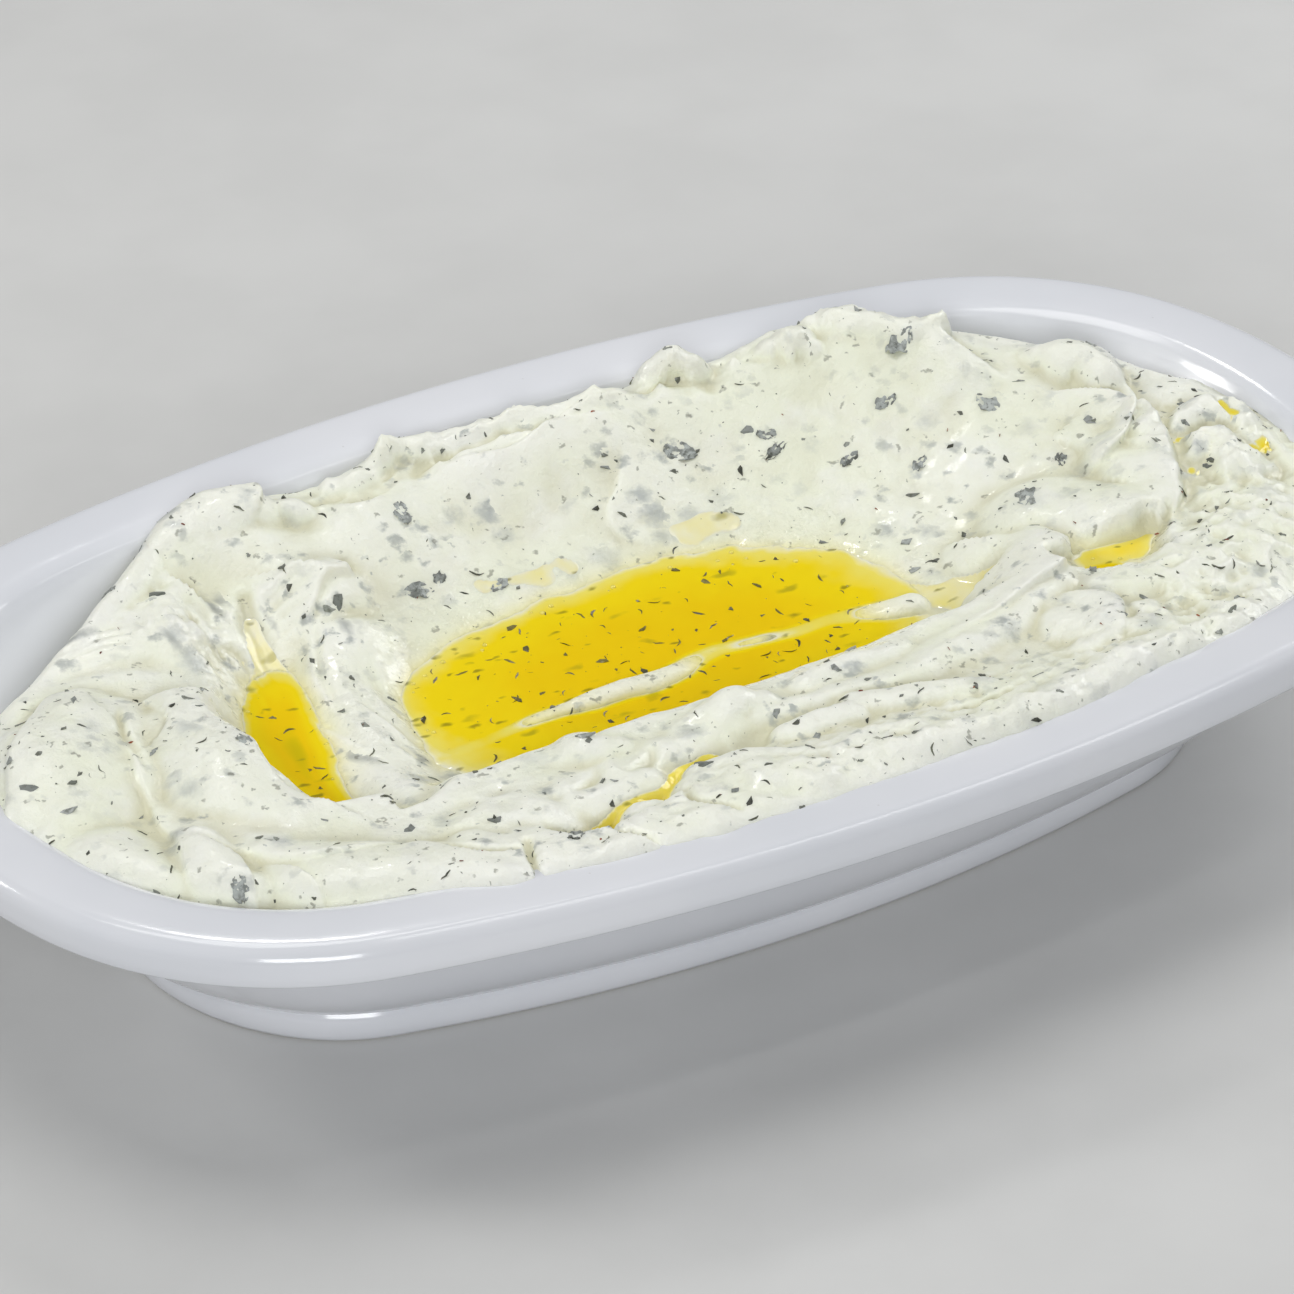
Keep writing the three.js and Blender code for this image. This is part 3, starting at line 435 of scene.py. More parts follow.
    # the far bank's crest on the left: a dollop with a turned-over edge, then two thin lips
    heap.mound([[-82, 24, 34, 5], [-76, 29, 34.8, 5], [-70, 33.5, 35.4, 5.5], [-63, 39, 36.4, 5.5],
                [-58, 43, 36.8, 5]], soft=0.5)
    heap.mound([[-53.5, 46, 37.4, 6], [-47, 47.5, 38.4, 7], [-43, 46.5, 38.5, 6.5], [-40, 46, 38, 5]],
                soft=0.5, power=2.6)
    heap.mound([[-37, 45, 36.6, 3.5], [-34.5, 44, 36.8, 4]], soft=0.3)
    heap.fold([[-43.5, 42, 0, 4], [-41, 43, 0.8, 5], [-38.5, 46, 1.4, 5], [-38.5, 48.5, 1.2, 5],
               [-39.5, 51.5, 0, 5]], steep=1.0, lean=0.5)
    heap.mound([[-26.5, 47, 36, 3.6], [-22.5, 47, 36.5, 3.8], [-18.5, 48.5, 37.2, 3]], soft=0.5)
    heap.mound([[-14, 50, 37.4, 3.4], [-10, 48, 37.6, 4], [-3.5, 48, 37.4, 4], [1.5, 49, 37.6, 4],
                [6.5, 46, 37.2, 4], [12.5, 46, 37.2, 4], [18, 46, 37.4, 4]], soft=0.5)
    heap.fold([[32, 43.5, 0, 6], [24, 43.5, 0.9, 6], [15, 44.5, 1.2, 6], [6, 42, 1.2, 6],
               [-0.5, 43.5, 1.0, 6], [-10.5, 42.5, 0.8, 6], [-16, 43, 0, 5]], steep=1.0, lean=0.5)
    heap.fold([[22.5, 46, 0, 4], [16, 46.5, 0.8, 4], [9, 46, 1, 4], [3, 47.5, 1, 4], [-5, 46.5, 0.9, 4],
               [-9.5, 47, 0, 4]], steep=0.8, lean=0.4)
    heap.fold([[20, 41, 0, 5], [10, 42, 0.9, 5], [0, 40.5, 1, 5], [-8, 41, 0.9, 5], [-14, 40.5, 0, 5]],
               steep=0.9, lean=0.5)
    heap.rough([[-26, 46, 6], [-8, 46, 5], [10, 45.5, 5], [24, 45, 4]], 0.4, 3.6, seed=12)
    heap.tip(-16.5, 49.5, 4.4, 1.5, lean=(-0.6, 0.5))
    # a peak, a rolled lump and two drawn-up tips on the crest
    heap.mound([[26, 48.5, 39.6, 2.8], [28.5, 47.5, 41, 2.8], [31, 45.5, 39.8, 3]], soft=0.4)
    heap.fold([[22, 44.5, 0, 3], [25, 45.5, 1, 3], [28, 45.5, 1.2, 3], [30, 44, 0.8, 3],
               [32, 42.5, 0, 3]], steep=0.8, lean=0.5)
    heap.mound([[43.5, 43.5, 39.5, 3.4], [45, 43, 40.8, 3.8], [47, 42, 41, 3.8], [48, 40.5, 39.8, 3.2]],
                soft=0.3)
    heap.mound([[51, 45, 40.6, 3.4], [55, 43, 41.4, 4.4], [59, 39.5, 41, 4.4], [61.5, 36.5, 40.2, 4]],
                soft=0.5)
    heap.mound([[64.5, 36, 39.4, 2.6], [66, 35.5, 40, 2.2]], soft=0.4)
    heap.tip(66.5, 35.5, 2.4, 1.8, lean=(0.8, 0.3))
    for x, y, rise in ((-12.8, 51.5, 1.5), (-2.1, 50, 0.8), (4.2, 49, 1.3), (15.5, 46.5, 1.2), (24.6, 44, 1),
                       (37, 44, 1.6), (52.6, 46, 1.1), (57.4, 44.2, 1)):
        heap.tip(x, y, rise, 1.1, lean=(0.3, 0.3))
    heap.rough([[30, 44, 4], [48, 44.5, 4], [57, 42.5, 4], [63, 37, 4]], 0.28, 2.6, seed=14)
    heap.fold([[70.5, 22.5, 0, 7], [68.5, 27.5, 1.2, 8], [66, 31, 1.6, 8], [64.5, 35.5, 1.5, 8],
               [62.5, 40.5, 0, 7]])
    # thin lips that the edge of the spoon left on the far bank
    heap.fold([[16.5, 39.5, 0, 5], [12, 32, 0.6, 5], [8, 29, 0.7, 5], [8, 24.5, 0.6, 5],
               [12, 21, 0, 5]], steep=1.1, lean=0.3)
    heap.fold([[-15, 44, 0, 6], [-23, 40.5, 1, 7], [-28, 41.5, 1, 7], [-32.5, 44, 0, 6]], steep=1.5,
               lean=0.2)
    # the shell-like end of the sweep, and the ridge behind it
    heap.mound([[77.5, 26.5, 37.4, 4], [79.5, 24.5, 38.4, 5], [82, 21.5, 38, 5], [82.5, 18.5, 37, 4.5]],
                soft=0.7)
    heap.scoop([[72, 17, 35.4, 7], [75, 14, 34.8, 6], [76, 9, 34.4, 5.5], [73, 4, 33.6, 6]], soft=1)
    heap.fold([[73.5, -14, 0, 4], [76.5, -10.5, 0.8, 5], [80.5, -3.5, 1.4, 6], [82, 3, 1.4, 6],
               [84, 12, 1.1, 5], [84, 17.5, 0.9, 5], [81.5, 24, 0, 5]], steep=1.2, lean=0.4)
    heap.fold([[66.5, -0.5, 0, 6], [70, -1.5, 1, 6], [74.5, 0, 1.8, 7], [78, 3.5, 2.2, 7],
               [80, 8, 2.2, 7], [80, 12.5, 1.8, 7], [77.5, 16, 1.2, 7], [73, 18.5, 0, 7]], steep=1.2,
               lean=0.5)
    heap.fold([[58, -13.5, 0, 4], [61.5, -14.5, 0.6, 5], [65.5, -16, 1, 5], [70.5, -17, 1, 5],
               [74.5, -15, 1, 5], [77, -11, 0, 5]], steep=1.0, lean=0.3)
    # rough lumps at the right end
    heap.mound([[85.5, 0.5, 36, 3.4], [91, 2.5, 36.6, 4], [93.5, 0, 36.6, 4], [93, -5, 34.6, 4.4],
                [92, -9.5, 33.4, 4.4]], soft=0.5)
    heap.mound([[83.5, -6, 35.8, 4], [87.5, -4.5, 36, 4], [87, -12, 35.8, 5.4]], soft=0.5)
    heap.scoop([[93.5, 2.5, 35.2, 2], [93.5, -1, 35, 2]], soft=0.4)
    heap.scoop([[89, -7, 35, 1.8], [91, -7.5, 35, 1.6]], soft=0.4)
    heap.scoop([[84.5, -1.5, 34.8, 1.8], [81.8, -4.5, 33.8, 2.4], [78.8, -9.5, 33.6, 2.2]], soft=0.4)
    # the leaf-like fold at the ridge's far end, and the ridge's wavy top and crumpled face
    heap.fold([[25, -30, 0, 5], [33.5, -28.5, 0.8, 6], [41.5, -26.5, 1.3, 7], [48, -24.5, 1.8, 7],
               [53, -20, 1.8, 8], [55.5, -15, 1.6, 8], [55, -10, 1, 7], [52.5, -6.5, 0, 7]], steep=1.0,
               lean=0.4)
    heap.mound([[-36, -27, 32.4, 5], [-31, -28, 34.4, 4.6], [-28, -28.5, 35.6, 4.4],
                [-24, -30, 34.4, 4.6]], soft=0.5, power=2.4)
    heap.mound([[-14, -31.5, 34.2, 4.4], [-9, -31, 35.2, 4.4], [-5, -29.5, 36, 4],
                [-2, -30.5, 34.8, 4.4]], soft=0.5, power=2.4)
    heap.mound([[6, -29.5, 34.6, 4], [14, -28.5, 34.8, 4], [22, -27.5, 34, 4]], soft=0.5)
    heap.scoop([[-28, -32.5, 34.2, 2], [-30, -35, 33.6, 2.4], [-33, -37, 32.8, 2.4]], soft=0.5)
    heap.scoop([[-20, -33, 33.8, 2], [-22, -36, 33.2, 2.4], [-25, -38.5, 32.6, 2.2]], soft=0.5)
    heap.scoop([[-12.5, -33.5, 34.2, 1.8], [-15, -36, 33.6, 2.2]], soft=0.5)
    heap.mound([[-48, -36, 34.2, 7], [-42, -37, 34.6, 6.4], [-39, -40, 34.6, 5.6]], soft=0.7, power=2.6)
    heap.mound([[-35, -38.5, 34.2, 5], [-29.5, -38.5, 34.4, 4.6], [-24, -38.5, 34, 4.4]], soft=0.6,
                power=2.4)
    heap.rough([[-46, -36, 7], [-26, -36, 6], [-8, -35, 5], [10, -36, 5]], 0.35, 6.5, seed=8)
    # angular lumps between the valley and the near rim
    heap.mound([[-17, -41.5, 34.8, 3.4], [-11.5, -43.5, 35.8, 3.8], [-7.5, -45.5, 36.1, 3.6],
                [-3.5, -47.5, 35.8, 3.4], [-2, -49.5, 35.4, 3]], soft=0.35, power=3)
    heap.scoop([[-21, -45, 34.2, 1.3], [-21.5, -49.5, 35, 1.2], [-18.5, -54, 35.6, 1.1]], soft=0.3)
    heap.scoop([[-34, -46, 34, 1.3], [-34.5, -50.5, 35, 1.2], [-31.5, -56, 35.6, 1.1]], soft=0.3)
    heap.scoop([[-45.5, -45.5, 34.2, 1.4], [-47.5, -51, 35, 1.3], [-49.5, -56.5, 35.6, 1.1]], soft=0.3)
    heap.mound([[-59, -41.5, 35.6, 5], [-57, -47, 36.5, 5.4], [-53, -51.5, 36.8, 5.2]], soft=0.4, power=3)
    heap.mound([[-51.5, -41, 35, 5], [-48, -44.5, 35.2, 4.4]], soft=0.4, power=3)
    heap.scoop([[-56, -38.5, 34.6, 1.5], [-52.5, -44.5, 35, 1.4], [-47.5, -46.5, 34.8, 1.4]], soft=0.3)
    heap.mound([[-2.5, -39.5, 35.2, 3.6], [1.5, -40, 35.7, 3.6], [6.5, -40, 35.5, 3.4]], soft=0.35,
                power=3)
    heap.mound([[8.5, -38, 35.2, 3.6], [14.5, -40, 35.8, 3.8], [20.5, -42.5, 36, 3.8],
                [24.5, -44, 35.6, 3.6]], soft=0.35, power=3)
    heap.scoop([[-5, -43, 34.8, 1.2], [1.5, -44, 35, 1.2], [7, -43.5, 34.8, 1.2],
                [14, -45.5, 35.2, 1.3], [20, -48, 35, 1.5], [27, -47, 35.2, 1.4]], soft=0.3)
    heap.mound([[1, -49.5, 36.6, 4], [6, -48.5, 36.4, 4], [11, -50.5, 36.6, 4]], soft=0.35, power=3)
    # the dome on the near right
    heap.mound([[45, -31, 34.4, 4.4], [48, -32.5, 35, 4.8], [48.5, -37, 35.2, 4.8],
                [46.5, -41.5, 35.4, 4.6], [42.5, -43, 35.4, 4.2]], soft=0.4, power=2.6)
    heap.fold([[43, -46, 0, 4], [46.5, -44, 0.7, 5], [50.5, -38.5, 1, 5], [52.5, -32, 0.7, 4],
               [51.5, -28.5, 0, 4]], steep=0.9, lean=0.3)
    heap.mound([[54, -38, 35, 4], [53.5, -44.5, 35.8, 4.4], [52, -50.5, 36, 4]], soft=0.5)
    heap.scoop([[58.5, -17.5, 30.6, 4, 7], [62, -18, 30.5, 3.4, 7], [66, -17.8, 30.6, 3, 6],
                [68.5, -16.8, 30.8, 2.4, 4]], soft=0.3)
    heap.scoop([[57.5, -21.5, 30, 3], [59.5, -22, 29.8, 3]], soft=0.3)
    # edges of the petals on the left, and the valley behind them
    heap.scoop([[-80, 22.5, 33.7, 3.4], [-71, 21.5, 33.6, 3.8], [-66.5, 19.5, 33, 3.8],
                [-62.5, 15.5, 32.4, 3.4], [-59.5, 11, 31, 3]], soft=0.8)
    heap.fold([[-75.5, 15.5, 0, 8], [-80, 17.5, 1, 8], [-86, 14.5, 1.3, 9], [-93.5, 5.5, 1.4, 9],
               [-99, -3.5, 1, 8], [-101.5, -9, 0, 7]], steep=1.4, lean=0.3)
    heap.scoop([[-74.5, 14, 35.2, 1.8], [-78, 7.5, 35, 1.6], [-80, 1, 34.8, 1.5], [-81, -9, 34.6, 1.5],
                [-82.5, -15.5, 34.6, 1.4], [-84, -25, 35, 1.3], [-86, -33.5, 35.2, 1.2]], soft=0.4)
    heap.fold([[-76.5, 10.5, 0, 7], [-79.5, 2.5, 0.9, 8], [-81.5, -5.5, 1, 9], [-83, -16.5, 0.9, 8],
               [-84.5, -26.5, 0.7, 7], [-86.5, -34.5, 0, 7]], steep=1.2, lean=0.3)
    heap.fold([[-60, -30.5, 0, 7], [-63, -24, 1, 8], [-66, -18.5, 1.4, 9], [-66.5, -11, 1.7, 10],
               [-65, -2, 1.8, 10], [-66, 7, 1.6, 10], [-70.5, 11.5, 1.2, 9], [-74.5, 11.5, 0, 9]],
               steep=1.2, lean=0.35)
    heap.fold([[-84, -20, 0, 7], [-80, -24, 0.8, 7], [-76, -30.5, 0.9, 8], [-69, -35.5, 0.8, 8],
               [-59.5, -36.5, 0.5, 7], [-50.5, -35.5, 0, 6]], steep=1.3, lean=0.3)
    heap.fold([[-83.5, -41.5, 0, 5], [-82.5, -40.5, 0.8, 6], [-79.5, -33, 1.2, 6], [-81, -27, 1, 5],
               [-84, -23, 0, 5]], steep=0.9, lean=0.3)
    heap.fold([[-76, -46.5, 0, 5], [-74, -42.5, 0.9, 5], [-74.5, -36.5, 0.9, 5], [-77.5, -32, 0, 5]],
               steep=0.9, lean=0.3)
    # drag marks and torn places
    heap.drag([[-56.5, 33.5, 8], [-55.5, 26, 9], [-56, 15, 6], [-57.5, 6.5, 4]], 0.2, 2.6)
    heap.rough([[-60, 30, 8], [-57, 22, 8], [-58, 14, 6]], 0.25, 2.4, seed=9)
    heap.drag([[-39.5, 25.5, 5], [-44, 12, 7], [-45, -1, 9], [-41, -14, 6]], 0.22, 3.2)
    heap.scoop([[-48.4, 30, 31.6, 2.6], [-49.6, 25, 29.4, 3], [-50.4, 21, 27.9, 3.4],
                [-50.8, 17, 26.9, 4], [-51.5, 13, 26.4, 4.6]], soft=0.6)
    heap.drag([[-80.5, 26, 4], [-72, 27, 5], [-67, 24.5, 6]], 0.2, 2)
    heap.rough([[82, 2, 9], [87, -6.5, 12], [80, -23.5, 12], [63, -36, 10]], 0.5, 4.4)
    heap.rough([[84, 4, 8], [89, -8, 12], [80, -25.5, 10], [60, -42, 9]], 0.28, 2.1, seed=5)
    heap.rough([[8, -54, 6], [18, -54.5, 6], [31.5, -52.5, 7], [44, -52.5, 8], [56.5, -50, 8]], 0.3,
                4.2, seed=2)
    heap.rough([[-4, -50, 6], [16, -50, 8], [38, -48, 9], [60, -44, 9]], 0.24, 1.9, seed=3)
    heap.rough([[-26.5, -45, 5], [-21.5, -54, 6], [-0.5, -53, 6]], 0.2, 3.6, seed=4)
    heap.rough([[-46, -50, 6], [-26, -48, 7], [2, -44, 7], [24, -42, 6]], 0.12, 1.9, seed=6)


def inside_contact(x, y):
    """Distance inside the line where the haydari meets the dish; negative outside it."""
    nearest, inside = np.full(x.shape, 1e9), np.zeros(x.shape, bool)
    for a, b in zip(CONTACT, np.roll(CONTACT, -1, 0)):
        d = b - a
        f = np.clip(((x - a[0]) * d[0] + (y - a[1]) * d[1]) / (d @ d), 0, 1)
        nearest = np.minimum(nearest, np.hypot(x - a[0] - f * d[0], y - a[1] - f * d[1]))
        inside ^= ((a[1] > y) != (b[1] > y)) & (x < d[0] * (y - a[1]) / (d[1] + 1e-12) + a[0])
    return np.where(inside, nearest, -nearest)


def inside_rim(x, y):
    """Distance inside the rim's outermost edge."""
    x, y = np.abs(x), np.abs(y)
    centre = arc_centres(RIM_OVAL)
    by = {arc: RIM_OVAL[arc] - np.hypot(x - centre[arc][0], y - centre[arc][1]) for arc in centre}

    def turn(arc):
        k = centre["corner"] - centre[arc]
        return k[0] * (y - centre[arc][1]) - k[1] * (x - centre[arc][0])

    near_end = np.where(turn("end") < 0, by["end"], by["corner"])
    return np.where(turn("side") > 0, by["side"], np.minimum(near_end, by["side"]))


def dish_height(x, y):
    """Height of the dish's inner surface."""
    profile = np.array(INNER_WALL)[::-1]
    return np.interp(inside_rim(x, y), profile[:, 0], profile[:, 1])


HOLLOW_FLOOR, LEVEL_TOP, BRIM_RISE = 23.8, 33.4, 2.8


def swept_hollow(x, y):
    """The heap after the one long sweep: a gentle far slope up to the crest, and a steep near one."""
    across = y + 4 - 0.02 * x
    far = 0.00171 * np.abs(across) ** 2.33
    near = 0.004 * across ** 2 + 9 * smooth_step(12, 24, -across)
    ends = np.where(x < -5, 0.0017 * (x + 5) ** 2, np.where(x > 5, 0.0023 * (x - 5) ** 2, 0))
    brim = BRIM_RISE * smooth_step(36, 51, -y)
    level = LEVEL_TOP + brim + smooth_step(8, 34, y) * (np.interp(x, *CREST.T) - LEVEL_TOP)
    return soft_min(HOLLOW_FLOOR + np.where(across > 0, far, near) + ends, level, 2)


def worked_surface(x, y):
    """Height of the haydari at points x, y, and how far the lips push them sideways."""
    shift_x = 0.9 * waves(x, y, 1.3, 15) + 0.35 * waves(x, y, 4.1, 6)
    shift_y = 0.9 * waves(x, y, 2.2, 15) + 0.35 * waves(x, y, 5.7, 6)
    u, v = x + shift_x, y + shift_y
    heap = Heap(u, v, swept_hollow(u, v))
    spoon_strokes(heap)
    heap.height += 0.25 * waves(x, y, 6.6, 9) + 0.09 * waves(x, y, 7.7, 3.2)
    heap.height += 0.05 * waves(x, y, 8.9, 1.7) * (1 + waves(x, y, 2.9, 18))
    inside = inside_contact(x + 0.4 * shift_x, y + 0.4 * shift_y)
    root = dish_height(x, y) - EDGE_ROOT
    rounding = 1 - (1 - np.clip(inside / EDGE_WIDTH, 0, 1)) ** 3.2
    height = np.where(inside > 0, root + (heap.height - root) * rounding, root + inside)
    return height, heap, inside


COLUMNS = round(RIM_OVAL["length"] / GRAIN)
ROWS = round(RIM_OVAL["width"] / GRAIN)
LINES_X = (np.arange(COLUMNS + 1) / COLUMNS - 0.5) * RIM_OVAL["length"]
LINES_Y = (np.arange(ROWS + 1) / ROWS - 0.5) * RIM_OVAL["width"]
GRID_X, GRID_Y = np.meshgrid(LINES_X, LINES_Y)
surface, worked, inside = worked_surface(GRID_X.ravel(), GRID_Y.ravel())
push = worked.push
SURFACE = surface.reshape(GRID_X.shape)
PUSH = push.reshape(*GRID_X.shape, 2)
INSIDE = inside.reshape(GRID_X.shape)


def spread(field, rounds):
    """Blurs a field on the grid by repeated averaging."""
    field = field.astype(float)
    for _ in range(rounds):
        for axis in (0, 1):
            padded = np.pad(field, [(1, 1) if a == axis else (0, 0) for a in (0, 1)], mode="edge")
            low = np.take(padded, range(0, field.shape[axis]), axis)
            high = np.take(padded, range(2, field.shape[axis] + 2), axis)
            field = 0.25 * low + 0.5 * field + 0.25 * high
    return field


def connected(mask, seed_x, seed_y):
    """The part of a mask on the grid that is joined to the place nearest to the seed."""
    row, column = np.abs(LINES_Y - seed_y).argmin(), np.abs(LINES_X - seed_x).argmin()
    rows, columns = np.nonzero(mask)
    start = ((rows - row) ** 2 + (columns - column) ** 2).argmin()
    part = np.zeros_like(mask)
    part[rows[start], columns[start]] = True
    count = 0
    while part.sum() != count:
        count = part.sum()
        grown = part.copy()
        grown[1:] |= part[:-1]
        grown[:-1] |= part[1:]
        grown[:, 1:] |= part[:, :-1]
        grown[:, :-1] |= part[:, 1:]
        part = grown & mask
    return part


def square_cells(corner_mask, need_all):
    """The grid's squares that have all, or any, of their corners in the mask."""
    stack = [corner_mask[:-1, :-1], corner_mask[:-1, 1:], corner_mask[1:, 1:], corner_mask[1:, :-1]]
    return np.logical_and.reduce(stack) if need_all else np.logical_or.reduce(stack)


def cell_faces(cells):
    """Corner numbers of the grid's kept squares, anticlockwise from above."""
    rows, columns = np.nonzero(cells)
    a = rows * (COLUMNS + 1) + columns
    return np.column_stack([a, a + 1, a + COLUMNS + 2, a + COLUMNS + 1])


def edge_loops(faces):
    """Directed outline edges of a set of quads, chained into loops of corner numbers."""
    pairs = np.vstack([faces[:, [k, (k + 1) % 4]] for k in range(4)])
    keys = {(a, b) for a, b in pairs.tolist()}
    following = {a: b for a, b in keys if (b, a) not in keys}
    loops = []
    while following:
        start, after = next(iter(following.items()))
        loop = [start]
        del following[start]
        while after != start and after in following:
            loop.append(after)
            after = following.pop(after)
        loops.append(loop)
    return loops


def haydari_body(material):
    """The worked surface, closed underneath just inside the dish's wall, and its corners on the grid."""
    faces = cell_faces(square_cells(INSIDE > 0, need_all=True))
    used, compact = np.unique(faces, return_inverse=True)
    top = np.column_stack([
        GRID_X.ravel()[used] + push[used, 0], GRID_Y.ravel()[used] + push[used, 1], surface[used],
    ])
    compact = compact.reshape(faces.shape)
    outline = max(edge_loops(compact), key=len)
    points, all_faces = [top], compact.tolist()
    # under the surface it follows the dish in rings, with a third and then a ninth of the outline's points
    loop, total = np.array(outline), len(top)
    ring_sizes = [len(loop) // 3] + [len(loop) // 9] * 9
    shares = [0.985, 0.95, 0.9, 0.84, 0.77, 0.69, 0.6, 0.48, 0.33, 0.16]
    previous = loop
    for size, share in zip(ring_sizes, shares):
        picked = top[loop[(np.arange(size) * len(loop) / size).astype(int)], :2] * share
        z = dish_height(picked[:, 0], picked[:, 1]) - EDGE_ROOT - 0.1
        points.append(np.column_stack([picked, z]))
        numbers = np.arange(total, total + size)
        i = j = 0
        while i < len(previous) or j < size:
            if j >= size or (i < len(previous) and i * size <= j * len(previous)):
                after = previous[(i + 1) % len(previous)]
                all_faces.append((int(after), int(previous[i % len(previous)]), int(numbers[j % size])))
                i += 1
            else:
                after = numbers[(j + 1) % size]
                all_faces.append((int(numbers[j % size]), int(after), int(previous[i % len(previous)])))
                j += 1
        previous, total = numbers, total + size
    points.append([[0, 0, dish_height(np.zeros(1), np.zeros(1))[0] - EDGE_ROOT - 0.1]])
    for k in range(len(previous)):
        all_faces.append((int(previous[(k + 1) % len(previous)]), int(previous[k]), total))
    piece = mesh_piece("haydari_heap", np.vstack(points), all_faces, material)
    return piece, used


# Level of the oil in each low place, the box [left, right, near, far] round it and a place in it.
OIL_PLACES = [
    {"name": "oil_in_hollow", "node": "oil_pool", "level": 26.0,
     "box": [-43, 42, -24, 26], "seed": [0, 8]},
    {"name": "oil_in_groove", "node": "oil_streak", "level": 27.4,
     "box": [-63, -47, -22, 25], "seed": [-55, -4]},
    {"name": "oil_under_lobe", "node": "oil_pocket", "level": 31.0,
     "box": [54, 72, -24, -10], "seed": [62, -18]},
]


def oil_cover(place):
    """Where the haydari lies under the oil's level, joined to the oil's own place."""
    left, right, near, far = place["box"]
    window = (GRID_X > left) & (GRID_X < right) & (GRID_Y > near) & (GRID_Y < far)
    return connected((SURFACE < place["level"]) & window, *place["seed"])


OIL_COVERS = [oil_cover(place) for place in OIL_PLACES]
OIL_DEPTH = np.zeros_like(SURFACE)
for place, cover in zip(OIL_PLACES, OIL_COVERS):
    OIL_DEPTH = np.where(cover, place["level"] - SURFACE, OIL_DEPTH)

# yellow near the oil: partly oil soaked into the haydari, partly a painted glow of light scattered through
# the oil
over_oil = np.zeros_like(SURFACE)
for place, cover in zip(OIL_PLACES, OIL_COVERS):
    over_oil += spread(cover, 90) * np.exp(-np.maximum(SURFACE - place["level"], 0) / 0.7)
SOAK_AND_GLOW = np.clip(1.7 * over_oil, 0, 1)
WETNESS = np.clip(3 * spread(OIL_DEPTH > 0, 420), 0, 1)
# painted shade and light from the relief: positive in hollows and creases, where the painted shade goes,
# negative on ridges and tops, which are painted lighter
RELIEF_SHADE = np.clip(1.4 * (spread(SURFACE, 26) - SURFACE) + 0.4 * (spread(SURFACE, 150) - SURFACE), -1, 1)


